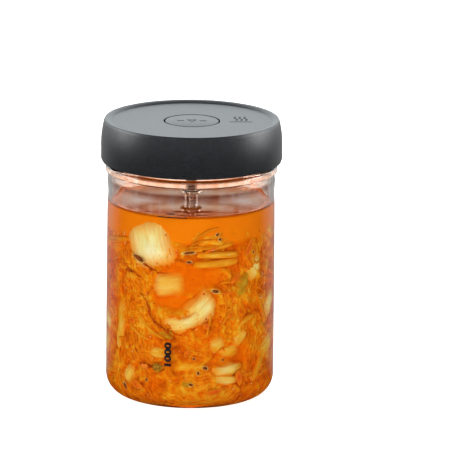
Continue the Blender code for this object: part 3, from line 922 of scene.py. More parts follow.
def crumple(place, offset):
    """Folds of a soft leaf, large and small: 1 on a sharp crest, 0 in a hollow."""
    warped = place + noise.noise_vector(place * 70 + offset) * 0.0060
    return (ridge(warped * 80, offset) * 0.50 + ridge(warped * 190, -offset) * 0.34
            + ridge(warped * 430, offset * 2) * 0.16)


def drop_point(size, offset, across, along, side):
    """Where a point of the ball goes on a small uneven drop."""
    outward = Vector((across, along, side))
    swell = 1.0 + 0.30 * noise.noise(outward * 1.1 + offset) + 0.12 * noise.noise(outward * 2.7 - offset)
    return Vector((across * size[0] / 2 * swell, along * size[1] / 2 * swell, side * size[2] / 2))


def slab_point(kind, size, offset, curl, across, along, side):
    """Where a point of a blank goes on the flat piece, and how much of a crest it is on."""
    shape = KINDS[kind]
    length, width, thickness = size
    rounding = shape["round"]
    if kind == "rib":
        rounding = min(0.9, rounding * (0.036 / length) ** 3)
    a = across * math.sqrt(1.0 - rounding * along * along / 2.0)
    b = along * math.sqrt(1.0 - rounding * across * across / 2.0)
    place = Vector((a * length / 2, b * width / 2, 0.0))
    bend = noise.noise(place / shape["pitch"] + offset)
    thin = 1.0 - 0.45 * max(abs(a), abs(b)) ** 3
    place.x *= 1.0 + 0.10 * noise.noise(place * 60 + offset * 2)
    place.y *= 1.0 + 0.16 * noise.noise(place * 70 - offset)
    rim = max(abs(across), abs(along)) ** 10
    if kind in ("drop", "speck"):
        return drop_point(size, offset, across, along, side), 0.5
    crest = 0.5
    relief = 0.0
    if kind == "leaf":
        crest = crumple(place, offset)
        relief = (crest - 0.65) * 0.0026
        place.x += noise.noise(place * 380 + offset) * 0.0011 * rim
        place.y += noise.noise(place * 380 - offset) * 0.0011 * rim
    elif kind == "rib":
        crest = 0.5 + 0.5 * math.sin(place.y * 1900 + noise.noise(place * 90 + offset) * 6)
        relief = (crest - 0.5) * 0.00016 + noise.noise(place * 120 + offset) * 0.0006
        place.x += noise.noise(Vector((0, place.y * 500, 0)) + offset) * 0.0030 * abs(across) ** 6
        place.y += noise.noise(Vector((place.x * 110, 0, along)) - offset) * 0.0030 * abs(along) ** 2
    else:
        crest = 0.5 + 0.5 * noise.noise(place * 300 + offset)
        relief = (crest - 0.5) * 0.00030
    place.z = side / 2 * thickness * thin * (1.0 - 0.75 * rim) + shape["wave"] * 2.0 * bend + relief
    place.y += curl * place.x * place.x
    return place, crest


print("relief tools ready")

# %% [markdown]
# ## Shaping a copy
#
# A copy of the blank is formed on the flat, and then put in place. Each point keeps two marks for the
# materials: where it lay on the flat, in millimetres, and its crest, rim and tint. So the fibres run
# along the piece, however it is turned.

# %% Shaping a copy
def shape_piece(kind, size, seed, tint, put, curl=0.0):
    """A copy of a blank, formed on the flat and then put in place by put(flat place, across)."""
    item = BLANKS[kind].copy()
    item.data = BLANKS[kind].data.copy()
    bpy.context.scene.collection.objects.link(item)
    mesh = item.data
    offset = Vector((seed * 3.7, seed * 1.3, seed * 0.9))
    flats = []
    crests = []
    for vertex in mesh.vertices:
        place, crest = slab_point(kind, size, offset, curl, *vertex.co)
        rim = max(abs(vertex.co.x), abs(vertex.co.y))
        if kind in ("drop", "speck"):
            rim = math.hypot(vertex.co.x, vertex.co.y)
        flats.append((place, vertex.co.copy(), rim))
        crests.append(crest)
    lowest = put.lowest([place for place, _blank, _rim in flats])
    flat = mesh.attributes.new("flat", "FLOAT_VECTOR", "POINT")
    look = mesh.attributes.new("look", "FLOAT_VECTOR", "POINT")
    for vertex, (place, start, rim), crest in zip(mesh.vertices, flats, crests):
        flat.data[vertex.index].vector = (place.x * 1000 + seed * 50, place.y * 1000, place.z * 1000)
        look.data[vertex.index].vector = (crest, rim, tint)
        vertex.co = put.place(place, start, lowest)
    return item


print("shaping tool ready")

# %% [markdown]
# ## Placing a piece
#
# The CAD model bends each slab round the inside of the jar with its outer face near the glass. The same
# sums are used here on the finer blanks, so every piece lies where its solid does. A piece may lean, so
# that one end sinks deeper into the brine and fades. On top of the heap the pieces lie flat.

# %% Placing tools
class OnWall:
    """Puts a flat piece on the inside of the glass: turned in its plane and bent round the jar."""

    def __init__(self, kind, angle, height, turn, size, depth, seed, lean=(0.0, 0.0)):
        self.angle = math.radians(angle)
        self.height = height
        self.spin = Matrix.Rotation(math.radians(turn), 4, "Z")
        self.sink = depth + size[2] / 2 + KINDS[kind]["wave"] + INSET_STEP * (1 + seed % INSET_STEPS)
        self.lean = lean
        self.bow = KINDS[kind]["bow"] * min(1.0, size[0] / 0.026)

    def lowest(self, flats):
        return min((self.spin @ place).y for place in flats)

    def place(self, flat, start, lowest):
        turned_place = self.spin @ flat
        height = max(self.height, PICKLE_BOTTOM - lowest)
        rise = height + turned_place.y
        rise -= 0.7 * max(0.0, rise - HIGHEST)
        lean = self.lean[0] * (start.x + 1) / 2 + self.lean[1] * (start.y + 1) / 2
        lean -= min(0.0, self.lean[0]) + min(0.0, self.lean[1])
        bow = self.bow * (start.x * start.x + start.y * start.y) ** 1.5 / 2
        radius = reach_at(rise) - self.sink - lean - bow + min(turned_place.z, self.sink)
        swing = self.angle + turned_place.x / PIECE_REACH
        return Vector((radius * math.sin(swing), -radius * math.cos(swing), rise))


class OnTop:
    """Lays a flat piece on the top of the heap."""

    def __init__(self, away, swing, turn, drop):
        place = Vector((away * math.cos(swing), away * math.sin(swing), PICKLE_TOP - drop))
        self.move = Matrix.Translation(place) @ Matrix.Rotation(turn, 4, "Z")

    def lowest(self, flats):
        return 0.0

    def place(self, flat, start, lowest):
        return self.move @ flat


print("placing tools ready")

# %% Joining tool
def join_pieces(name, items):
    """One object out of many."""
    bpy.ops.object.select_all(action="DESELECT")
    for item in items:
        item.select_set(True)
    bpy.context.view_layer.objects.active = items[0]
    bpy.ops.object.join()
    joined = bpy.context.object
    joined.name = name
    joined.data.name = name
    bpy.ops.object.select_all(action="DESELECT")
    return joined


print("joining tool ready")

# %% [markdown]
# ## The front pieces
#
# This table is the front of the jar, piece by piece: kind, angle from the front, height, turn, length,
# width, depth behind the glass, how far each end and side leans in, a tint from 0, deep orange, to above
# 1, white, and a curl. A tint below 0 is olive green. Chance alone couldn't give the large rib, the bowl-
# shaped piece or the strips that the jar shows, so they are listed one by one.

# %% Front pieces
FRONT_PIECES = (
    ("rib", -32, 0.1082, -78, 0.036, 0.038, 0.0, (-0.0006, 0.0006), 1.35, 0),
    ("strip", 21, 0.1022, -2, 0.030, 0.0046, 0.0, (0.0, 0.0), 0.70, -2),
    ("strip", 19, 0.0964, 2, 0.032, 0.0054, 0.0003, (0.0, 0.0), 0.60, 1),
    ("strip", 20, 0.1072, 5, 0.023, 0.0036, 0.0008, (0.0, 0.0), 0.45, 4),
    ("leaf", -21, 0.0530, -38, 0.016, 0.009, 0.0008, (0.0, 0.0), -0.6, 0),
    ("leaf", -3, 0.0195, 10, 0.011, 0.008, 0.0008, (0.0, 0.0), -0.5, 0),
    ("leaf", 14, 0.1130, 8, 0.036, 0.017, 0.0008, (0.0, 0.0005), 0.45, -10),
    ("leaf", 41, 0.1125, -20, 0.028, 0.015, 0.0012, (0.0008, 0.0), 0.35, -8),
    ("rib", -15, 0.0824, 8, 0.0275, 0.0215, 0.0, (0.0052, 0.0010), 1.42, 0),
    ("rib", 8, 0.0672, 46, 0.028, 0.0200, 0.0, (-0.0006, 0.0010), 0.98, 12),
    ("rib", -4, 0.0575, 16, 0.036, 0.0130, 0.0002, (0.0, 0.0), 0.72, 26),
    ("rib", 53, 0.0910, 66, 0.025, 0.017, 0.0006, (0.0, 0.0008), 0.72, 0),
    ("leaf", 46, 0.0800, 40, 0.028, 0.016, 0.0008, (0.0, 0.0), -0.9, 10),
    ("rib", 28, 0.0262, 2, 0.027, 0.0090, 0.0005, (0.0, 0.0), 0.66, 3),
    ("rib", 28, 0.0195, -3, 0.026, 0.0080, 0.0009, (0.0, 0.0), 0.58, -3),
    ("rib", 31, 0.0385, 8, 0.018, 0.0110, 0.0016, (0.0012, 0.0006), 0.62, 0),
    ("rib", 21, 0.0430, 20, 0.014, 0.0110, 0.0020, (0.0, 0.0), 0.55, 0),
    ("rib", 40, 0.0465, 50, 0.016, 0.0120, 0.0018, (0.0, 0.0), 0.58, 0),
    ("rib", -61, 0.0500, 84, 0.046, 0.012, 0.0014, (0.0, 0.0), 0.62, 3),
    ("strip", 60, 0.0262, 58, 0.026, 0.0050, 0.0, (0.0, 0.0), 0.95, 4),
    ("leaf", -45, 0.0820, -40, 0.032, 0.022, 0.0009, (0.0, 0.0), 0.5, 8),
    ("strip", -31, 0.0530, -40, 0.024, 0.0022, 0.0, (0.0, 0.0), 0.75, 12),
    ("strip", -40, 0.0480, -28, 0.018, 0.0020, 0.0, (0.0, 0.0), 0.60, 18),
    ("leaf", -43, 0.0580, 20, 0.030, 0.024, 0.0011, (0.0, 0.0), 0.45, -6),
    ("leaf", 2, 0.0410, -15, 0.030, 0.026, 0.0010, (0.0, 0.0), 0.5, 8),
    ("leaf", 30, 0.0620, 70, 0.030, 0.020, 0.0010, (0.0, 0.0), 0.5, 6),
    ("leaf", 6, 0.0200, 8, 0.030, 0.018, 0.0009, (0.0, 0.0), 0.5, 8),
    ("rib", -25, 0.0375, -4, 0.016, 0.0095, 0.0014, (0.0, 0.0), 0.62, 0),
    ("rib", -50, 0.0200, 60, 0.016, 0.0120, 0.0018, (0.0, 0.0), 0.55, 0),
    ("leaf", -40, 0.0330, -30, 0.028, 0.020, 0.0008, (0.0, 0.0), 0.45, -8),
    ("strip", 45, 0.0575, 20, 0.015, 0.0034, 0.0, (0.0, 0.0), 0.70, -22),
    ("strip", 14, 0.0560, 80, 0.018, 0.0016, 0.0006, (0.0, 0.0), 0.45, 10),
)
print("front pieces:", len(FRONT_PIECES))

# %% [markdown]
# ## Where no chance piece goes
#
# The heap isn't packed evenly. In a few patches only cloudy brine shows. The rest of the pieces keep out
# of those, and of the places that the front pieces take.

# %% Calm patches
def covered_by_front(angle, height):
    """Whether a place on the wall is already taken by a front piece."""
    for _kind, front_angle, front_height, turn, length, width, *_rest in FRONT_PIECES:
        across = math.radians(angle - front_angle) * PIECE_REACH
        rise = height - front_height
        swing = math.radians(turn)
        u = across * math.cos(swing) + rise * math.sin(swing)
        v = rise * math.cos(swing) - across * math.sin(swing)
        if abs(u) < length * 0.45 and abs(v) < width * 0.6:
            return True
    return False


CORE_RADIUS = 0.0472
CALM_PATCHES = (
    (-3, 0.0850, 0.020, 0.011), (10, 0.0720, 0.008, 0.010), (-12, 0.0720, 0.012, 0.006),
    (-48, 0.1150, 0.012, 0.006), (40, 0.0350, 0.006, 0.010),
)


def calmness(place):
    """1 in the middle of a patch of plain cloudy brine, 0 outside it."""
    most = 0.0
    swing = math.atan2(place.x, -place.y)
    for angle, height, half_width, half_height in CALM_PATCHES:
        across = (swing - math.radians(angle)) * CORE_RADIUS / half_width
        up = (place.z - height) / half_height
        away = math.sqrt(across * across + up * up) + 0.25 * noise.noise(place * 130)
        most = max(most, min(1.0, max(0.0, (1.25 - away) / 0.6)))
    return most


def is_calm(angle, height):
    """Whether a place on the wall shows only cloudy brine."""
    swing = math.radians(angle)
    return calmness(Vector((PIECE_REACH * math.sin(swing), -PIECE_REACH * math.cos(swing), height))) > 0.3


print("calm patches:", len(CALM_PATCHES))

# %% Placing the front pieces
made = {"rib": [], "leaf": [], "strip": []}
for number, row in enumerate(FRONT_PIECES):
    kind, angle, height, turn, length, width, depth, lean, tint, curl = row
    size = (length, width, KINDS[kind]["size"][2])
    put = OnWall(kind, angle, height, turn, size, depth, number, lean)
    made[kind].append(shape_piece(kind, size, number, tint, put, curl))
print({kind: len(items) for kind, items in made.items()})

# %% [markdown]
# ## The rest of the heap
#
# Behind and round the front pieces the cabbage lies as it fell. Each further piece turns by the golden
# angle from the one before, which spreads them with no rows, and a seeded draw gives its size, turn and
# depth, so that the heap is the same each time. First come the pieces that the CAD model has too.

# %% Scattered pieces
KIND_ORDER = ("leaf", "rib", "strip", "leaf", "strip")
GOLDEN_ANGLE = 137.5
SCATTERED = 46
LAID = 8

draw = random.Random(41)
span = PICKLE_TOP - PICKLE_BOTTOM - 0.016
for number in range(SCATTERED):
    kind = KIND_ORDER[number % len(KIND_ORDER)]
    angle = (number * GOLDEN_ANGLE + draw.uniform(-9, 9) + 180) % 360 - 180
    height = PICKLE_BOTTOM + 0.008 + span * (number + 0.5) / SCATTERED
    turn = draw.uniform(-70, 70)
    scale = draw.uniform(0.8, 1.2)
    depth = draw.uniform(0.0, 0.0012)
    if covered_by_front(angle, height) or is_calm(angle, height):
        continue
    length, width, thickness = KINDS[kind]["size"]
    size = (length * scale, width * scale, thickness)
    put = OnWall(kind, angle, height, turn, size, depth, 40 + number)
    tint = 0.30 + 0.45 * ((number * 7) % 11) / 11
    made[kind].append(shape_piece(kind, size, 40 + number, tint, put))
for number in range(LAID):
    kind = ("leaf", "rib", "strip")[number % 3]
    away = 0.033 * math.sqrt((number + 0.5) / LAID)
    put = OnTop(away, number * math.radians(GOLDEN_ANGLE), draw.uniform(0, math.tau),
                INSET_STEP * (1 + number % INSET_STEPS))
    made[kind].append(shape_piece(kind, KINDS[kind]["size"], 200 + number, 0.5, put))
print({kind: len(items) for kind, items in made.items()})

# %% More leaves and ribs
GOLDEN_SHARE = 0.618034
EXTRA_LEAVES = 44
BACK_RIBS = 16

for number in range(EXTRA_LEAVES):
    angle = (number * GOLDEN_ANGLE + 40) % 360 - 180
    height = 0.010 + 0.104 * ((number * GOLDEN_SHARE) % 1.0)
    scale = draw.uniform(0.45, 0.9)
    size = (0.030 * scale, 0.021 * scale, 0.0016)
    lean = (draw.uniform(-0.002, 0.002), draw.uniform(-0.002, 0.002))
    if covered_by_front(angle, height) or is_calm(angle, height):
        continue
    turn = draw.uniform(-90, 90)
    put = OnWall("leaf", angle, height, turn, size, draw.uniform(0.0008, 0.0030), 300 + number, lean)
    made["leaf"].append(shape_piece("leaf", size, 300 + number, draw.uniform(0.2, 0.9), put))
for number in range(BACK_RIBS):
    angle = 75 + (number * GOLDEN_ANGLE) % 210
    height = 0.016 + 0.094 * ((number * GOLDEN_SHARE + 0.5) % 1.0)
    scale = draw.uniform(0.7, 1.2)
    size = (0.026 * scale, 0.018 * scale, 0.0040)
    turn = draw.uniform(-90, 90)
    put = OnWall("rib", angle, height, turn, size, draw.uniform(0.0003, 0.0012), 240 + number)
    made["rib"].append(shape_piece("rib", size, 240 + number, draw.uniform(0.6, 1.1), put))
print({kind: len(items) for kind, items in made.items()})

# %% Shreds
SHREDS = 26
SHRED_FANS = (
    (10, 0.1120, 14, 0.022, -26, 3),
    (26, 0.0660, 76, 0.018, 8, 2),
)

for angle, height, turn, length, curl, count in SHRED_FANS:
    for number in range(count):
        share = number / max(1, count - 1) - 0.5
        size = (length * draw.uniform(0.7, 1.1), draw.uniform(0.0011, 0.0019), 0.0010)
        seed = 500 + len(made["strip"])
        put = OnWall("strip", angle + draw.uniform(-4, 4), height + share * 0.008, turn + share * 40, size,
                     draw.uniform(0.0004, 0.0012), seed)
        made["strip"].append(shape_piece("strip", size, seed, draw.uniform(0.1, 0.5), put, curl + share * 8))
for number in range(SHREDS):
    size = (draw.uniform(0.008, 0.017), draw.uniform(0.0010, 0.0020), 0.0010)
    height = 0.008 + 0.106 * ((number * GOLDEN_SHARE + 0.3) % 1.0)
    angle = (number * GOLDEN_ANGLE) % 360 - 180
    if covered_by_front(angle, height) or is_calm(angle, height):
        continue
    put = OnWall("strip", angle, height, draw.uniform(-90, 90), size,
                 draw.uniform(0.0004, 0.0020), 600 + number)
    tint = draw.uniform(0.1, 0.7)
    made["strip"].append(shape_piece("strip", size, 600 + number, tint, put, draw.uniform(-30, 30)))
print({kind: len(items) for kind, items in made.items()})

# %% [markdown]
# ## Gas pockets and red patches
#
# Gas from the fermenting cabbage collects in flat pockets against the glass, and chili paste sticks to
# the leaves in soft red patches. A pocket is brown inside, which is painted shade, with a pale rim that is
# a painted highlight. Both could be painted in the food's colours, but a pocket lies on the glass and not
# on the leaf. Each is a ball blank, flattened and bent to the wall, with its angle, height, length, width
# and turn in the tables.

# %% Places of the pockets and patches
POCKETS = (
    (-40, 0.0981, 0.0100, 0.0038, -22), (-1, 0.1045, 0.0088, 0.0024, 8), (-1, 0.0985, 0.0040, 0.0021, 4),
    (19, 0.1160, 0.0030, 0.0022, 30), (21, 0.1128, 0.0023, 0.0024, 60), (50, 0.1011, 0.0022, 0.0018, 0),
    (18, 0.0790, 0.0058, 0.0030, -20), (3, 0.0351, 0.0028, 0.0015, -40), (11, 0.0288, 0.0040, 0.0030, -20),
    (6, 0.0257, 0.0020, 0.0030, 10), (1, 0.0180, 0.0034, 0.0024, -10), (-32, 0.0193, 0.0019, 0.0024, 20),
    (24, 0.0335, 0.0025, 0.0017, 0), (-52, 0.0120, 0.0030, 0.0050, 30), (120, 0.0700, 0.0060, 0.0030, 20),
    (-130, 0.0400, 0.0070, 0.0030, -15), (170, 0.0950, 0.0080, 0.0030, 5), (85, 0.1000, 0.0040, 0.0030, 40),
    (-95, 0.0850, 0.0050, 0.0026, 10),
)
PATCHES = (
    (34, 0.0860, 0.0090, 0.0030, 38), (27, 0.0772, 0.0085, 0.0018, 8), (30, 0.0620, 0.0040, 0.0034, 40),
    (46, 0.1040, 0.0120, 0.0040, 58), (-46, 0.0560, 0.0050, 0.0040, 20), (-41, 0.0145, 0.0100, 0.0045, -20),
    (18, 0.0125, 0.0140, 0.0030, 10), (38, 0.0200, 0.0050, 0.0110, 10), (12, 0.0560, 0.0040, 0.0050, 40),
    (-2, 0.0385, 0.0030, 0.0060, -30), (-33, 0.0890, 0.0020, 0.0015, 0), (15, 0.1060, 0.0100, 0.0022, 24),
    (75, 0.0500, 0.0100, 0.0040, 30), (-85, 0.0700, 0.0090, 0.0040, -40), (140, 0.0300, 0.0110, 0.0050, 15),
    (-150, 0.0900, 0.0100, 0.0040, -20), (165, 0.0600, 0.0090, 0.0050, 60),
    (100, 0.0900, 0.0080, 0.0040, -30),
)
print("pockets:", len(POCKETS), "patches:", len(PATCHES))

# %% Pockets and patches
small = {"pocket": [], "red": [], "flake": [], "bubble": []}
draw = random.Random(7)


def bit(group, angle, height, size, turn, depth, tint=0.5):
    """A small drop at a place on the wall."""
    seed = 800 + sum(len(items) for items in small.values())
    kind = "speck" if group in ("flake", "bubble") else "drop"
    put = OnWall(kind, angle, height, turn, size, depth - INSET_STEP, seed * INSET_STEPS)
    small[group].append(shape_piece(kind, size, seed, tint, put))


for angle, height, length, width, turn in POCKETS:
    bit("pocket", angle, height, (length, width, 0.0007), turn, -0.0004)
for angle, height, length, width, turn in PATCHES:
    bit("red", angle, height, (length, width, 0.0012), turn, 0.0004, draw.uniform(0.2, 0.9))
print({group: len(items) for group, items in small.items()})

# %% [markdown]
# ## Flakes and bubbles
#
# Dark red chili flakes and fine bubbles lie all over the heap, and a few long bubbles shine near the
# sides. The bubbles' shine is a painted highlight, a pale cream colour. A particle system could strew
# them, but plain copies of the speck blank are easier to keep against the glass.

# %% Flakes and bubbles
SPARKLES = (
    (63, 0.0990, 0.0030, 70), (66, 0.0930, 0.0016, 20), (61, 0.0850, 0.0036, -60), (64, 0.0780, 0.0020, 80),
    (60, 0.0700, 0.0034, -70), (66, 0.0640, 0.0014, 0), (62, 0.0580, 0.0026, 60), (67, 0.0500, 0.0030, 75),
    (62, 0.0430, 0.0016, 10), (-64, 0.0940, 0.0020, 60), (-62, 0.0380, 0.0026, 70), (-66, 0.0560, 0.0016, 0),
    (-54, 0.1120, 0.0040, 80), (-53, 0.1060, 0.0026, 60), (16, 0.1060, 0.0014, 0), (28, 0.1020, 0.0016, 40),
)
FLAKES = 150
BUBBLES = 150

for number in range(FLAKES):
    wide = draw.uniform(0.0006, 0.0016)
    height = draw.uniform(0.006, 0.116)
    bit("flake", draw.uniform(-180, 180), height, (wide, wide * draw.uniform(0.4, 0.9), 0.0004),
        draw.uniform(0, 180), draw.uniform(-0.0002, 0.0004), draw.uniform(0, 1))
for number in range(BUBBLES):
    wide = draw.uniform(0.0004, 0.0010)
    height = draw.uniform(0.006, 0.118)
    bit("bubble", draw.uniform(-180, 180), height, (wide, wide, 0.0004), 0, -0.0003)
for angle, height, length, turn in SPARKLES:
    bit("bubble", angle, height, (length, 0.0006, 0.0004), turn, -0.0004)
print({group: len(items) for group, items in small.items()})

# %% [markdown]
# ## Painted shade in the leaf creases
#
# Where a large leaf is folded, shade runs down the front in a dark line. A groove in the leaf would fill
# with brine and vanish, so the shade is painted on a thin dark line of its own, drawn through places on
# the wall. It swells and thins like a pen stroke and dips in and out of the leaf.

# %% Crease shades
CREASES = (
    ((-39, 0.0760), (-36, 0.0735), (-33, 0.0700), (-31, 0.0660), (-30, 0.0620), (-27, 0.0585), (-23, 0.0560),
     (-19, 0.0535), (-15, 0.0505), (-12, 0.0490)),
    ((-38, 0.0965), (-33, 0.0940), (-27, 0.0915), (-21, 0.0905), (-14, 0.0905)),
    ((-54, 0.0880), (-48, 0.0885), (-42, 0.0870), (-36, 0.0850)),
)


def crease(name, points):
    """A thin line of painted shade in a fold, that follows (angle, height) places on the wall."""
    line = smooth_line(points, 5)
    item = draw_outline(name, [(math.radians(angle) * PIECE_REACH, height) for angle, height in line], False)
    bpy.ops.object.mode_set(mode="OBJECT")
    bpy.ops.object.convert(target="CURVE")
    item = bpy.context.object
    item.data.bevel_depth = 0.0011
    item.data.bevel_resolution = 2
    trail = item.data.splines[0].points
    for index, point in enumerate(trail):
        share = index / (len(trail) - 1)
        taper = 0.25 + 0.75 * math.sin(math.pi * share) ** 0.5
        point.radius = taper * (0.55 + 0.5 * noise.noise(point.co.xyz * 130))
    bpy.ops.object.convert(target="MESH")
    item = bpy.context.object
    look = item.data.attributes.new("look", "FLOAT_VECTOR", "POINT")
    flat = item.data.attributes.new("flat", "FLOAT_VECTOR", "POINT")
    for vertex in item.data.vertices:
        x, y, z = vertex.co
        wobble = noise.noise(Vector((x, 0, z)) * 400)
        flat.data[vertex.index].vector = (x * 1000, z * 1000, y * 1000)
        look.data[vertex.index].vector = (0.5, 0.5, 0.5 + 0.5 * wobble)
        radius = reach_at(z) - 0.0013 - y * 0.6 - 0.0012 * wobble
        swing = x / PIECE_REACH
        vertex.co = (radius * math.sin(swing), -radius * math.cos(swing), z + 0.0009 * wobble)
    bpy.ops.object.shade_smooth()
    bpy.ops.object.select_all(action="DESELECT")
    return item


creases = [crease("crease", points) for points in CREASES]
print("creases:", len(creases))

# %% [markdown]
# ## Carrot and scallion
#
# One square of carrot and one slice of scallion show low on the left. They are short ribs in other
# colours, because a cube and a cylinder would look too clean among the torn cabbage.

# %% Carrot and scallion
carrot_size = (0.0072, 0.0056, 0.0030)
carrot_put = OnWall("rib", -34, 0.0279, 8, carrot_size, -0.0006, 901)
carrot = shape_piece("rib", carrot_size, 901, 0.5, carrot_put)
scallion_size = (0.0082, 0.0050, 0.0024)
scallion_put = OnWall("rib", -24, 0.0286, -6, scallion_size, 0.0, 902)
scallion = shape_piece("rib", scallion_size, 902, 0.5, scallion_put)
print(len(carrot.data.vertices), "and", len(scallion.data.vertices), "vertices")

# %% [markdown]
# ## The middle of the heap
#
# Behind the showing pieces the jar is packed with more crumpled leaf. Hundreds more leaves would fill it
# too, but nobody could see past the first layer. So it is one turned body whose surface is pushed in and
# out by the same crumples, deep enough that the brine darkens it. In the calm patches it lies deeper and
# smoother.

# %% Core
CORE_TOP_CORNER = 0.0070


def crumple_core(mesh):
    """Pushes the core's surface in and out, and notes where its crests are."""
    look = mesh.attributes.new("look", "FLOAT_VECTOR", "POINT")
    flat = mesh.attributes.new("flat", "FLOAT_VECTOR", "POINT")
    for vertex in mesh.vertices:
        place = vertex.co.copy()
        outward = Vector((place.x, place.y, 0.0))
        outward.normalize()
        lump = noise.noise(place * 60)
        warp = noise.noise_vector(place * 80) * 0.006
        crest = crumple(place + warp, Vector((7.1, 2.3, 5.9)))
        push = lump * 0.0018 + (crest - 0.50) * 0.0040
        calm = calmness(place)
        push = push * (1.0 - calm) - 0.0036 * calm
        vertex.co = place + outward * push
        look.data[vertex.index].vector = (crest, 0.0, 0.35 + 0.3 * lump)
        flat.data[vertex.index].vector = place * 1000


print("crumpling tool ready")

# %% Core body
floor_height = PICKLE_BOTTOM + 0.0006
low = floor_height + 0.0095
high = PICKLE_TOP - CORE_TOP_CORNER
core_outline = [(CORE_RADIUS * step / 12, floor_height) for step in range(10)]
core_outline += arc(CORE_RADIUS - 0.0095, low, 0.0095, -90, 0, 12)
core_outline += [(CORE_RADIUS, low + (high - low) * step / 100) for step in range(1, 100)]
core_outline += arc(CORE_RADIUS - CORE_TOP_CORNER, high, CORE_TOP_CORNER, 0, 90, 8)
core_outline += [(CORE_RADIUS * (1 - step / 20), PICKLE_TOP) for step in range(4, 21)]
core = turned("pickle_core", core_outline, steps=300, sharp=180)
crumple_core(core.data)
print("core", len(core.data.vertices), "vertices")

# %% [markdown]
# ## Cloudy brine
#
# Under its surface the brine is clouded with fine pulp, so that it looks bright orange there and not
# dark. A volume that scatters light would show it best, but it is slow and the export can't keep it. A
# soft orange body just inside the clear brine gives the same look.

# %% Cloudy brine
CLOUD_RADIUS = 0.0476
CLOUD_TOP = 0.1264
CLOUD_BOTTOM = 0.1060
cloud_outline = [(0.0, CLOUD_BOTTOM), (0.030, CLOUD_BOTTOM)]
cloud_outline += arc(CLOUD_RADIUS - 0.006, CLOUD_BOTTOM + 0.006, 0.006, -90, 0, 8)
cloud_outline += arc(CLOUD_RADIUS - 0.0012, CLOUD_TOP - 0.0012, 0.0012, 0, 90, 6)
cloud_outline += [(0.030, CLOUD_TOP), (0.0, CLOUD_TOP)]
cloud = turned("cloudy_brine", cloud_outline, steps=96)
print("cloudy brine from", CLOUD_BOTTOM, "to", CLOUD_TOP)

# %% [markdown]
# ## Haze in the brine
#
# The deeper a piece lies behind the glass, the more the cloudy brine hides it. A volume would do that by
# itself, but slowly. Here one node group measures how far a point lies inside the wall, along the round
# corner at the foot too, and blends the food's colour into the colour of the brine. All food materials
# use it.

# %% Haze group
HAZE = (0.91, 0.215, 0.004)

haze = bpy.data.node_groups.new("brine_haze", "ShaderNodeTree")
haze.interface.new_socket("Color", in_out="INPUT", socket_type="NodeSocketColor")
haze.interface.new_socket("Color", in_out="OUTPUT", socket_type="NodeSocketColor")
entry = haze.nodes.new("NodeGroupInput")
leave = haze.nodes.new("NodeGroupOutput")
away = length_of(haze, object_place(haze, (1, 1, 0)))
rise = axis_of(haze, object_place(haze), "Z")
turn_radius = PIECE_REACH - INNER_CORNER
away = calculate(haze, "ADD", away, -turn_radius)
rise = calculate(haze, "ADD", rise, -BASE_THICKNESS - INNER_CORNER)
away = calculate(haze, "MAXIMUM", away, 0.0)
rise = calculate(haze, "MINIMUM", rise, 0.0)
corner = add(haze, "ShaderNodeCombineXYZ", {"X": away, "Y": rise}).outputs["Vector"]
level = length_of(haze, corner)
level = calculate(haze, "ADD", level, turn_radius)
depth = remap(haze, level, PIECE_REACH - 0.0012, PIECE_REACH - 0.0078)
shaped = calculate(haze, "POWER", depth, 1.1)
haze.links.new(blend_colors(haze, shaped, entry.outputs["Color"], HAZE), leave.inputs["Color"])
print("haze group ready")

# %% [markdown]
# ## A food material
#
# Wet cabbage is soft and only a little shiny. Each food material is a Principled shader with a colour and
# a bump from two functions. The functions read the marks of the shaping: how much of a crest a point is
# on, how near it is to the edge, and the piece's tint. Edges melt into the brine, torn along the fibres.

# %% Food shader
def look_marks(tree):
    """Crest, rim and tint of a food piece."""
    mark = add(tree, "ShaderNodeAttribute", attribute_name="look").outputs["Vector"]
    parts = add(tree, "ShaderNodeSeparateXYZ", {"Vector": mark})
    return parts.outputs["X"], parts.outputs["Y"], parts.outputs["Z"]


def food_shader(name, color_of, bump_of, roughness=0.45):
    """A soft wet food surface that fades into the haze. Two functions give its colour and its bump."""
    material, tree, shader = new_material(name)
    set_plain(shader, {"Roughness": roughness, "IOR": 1.4, "Specular IOR Level": 0.12})
    group = add(tree, "ShaderNodeGroup", node_tree=haze)
    tree.links.new(color_of(tree), group.inputs["Color"])
    tree.links.new(group.outputs["Color"], shader.inputs["Base Color"])
    bump = add(tree, "ShaderNodeBump", {"Height": bump_of(tree), "Strength": 0.6, "Distance": 0.0006})
    tree.links.new(bump.outputs["Normal"], shader.inputs["Normal"])
    return material


def soft_rim(tree, rim, start, amount):
    """1 at a piece's edge and 0 inside, torn along the fibres."""
    tears = noise_value(tree, flat_place(tree, (0.10, 0.9, 0.6)), 0.8, 3.0, 0.6)
    torn = calculate(tree, "MULTIPLY_ADD", tears, amount, rim)
    return remap(tree, torn, start + amount * 0.5, 1.0 + amount * 0.5)


print("food shader ready")

# %% [markdown]
# ## Colours of the ribs
#
# Pickled cabbage is white where it is thick and golden where the brine has soaked in. Stretched noise
# makes the fibres, and a slow noise stains some parts more, the more so the lower the piece's tint.

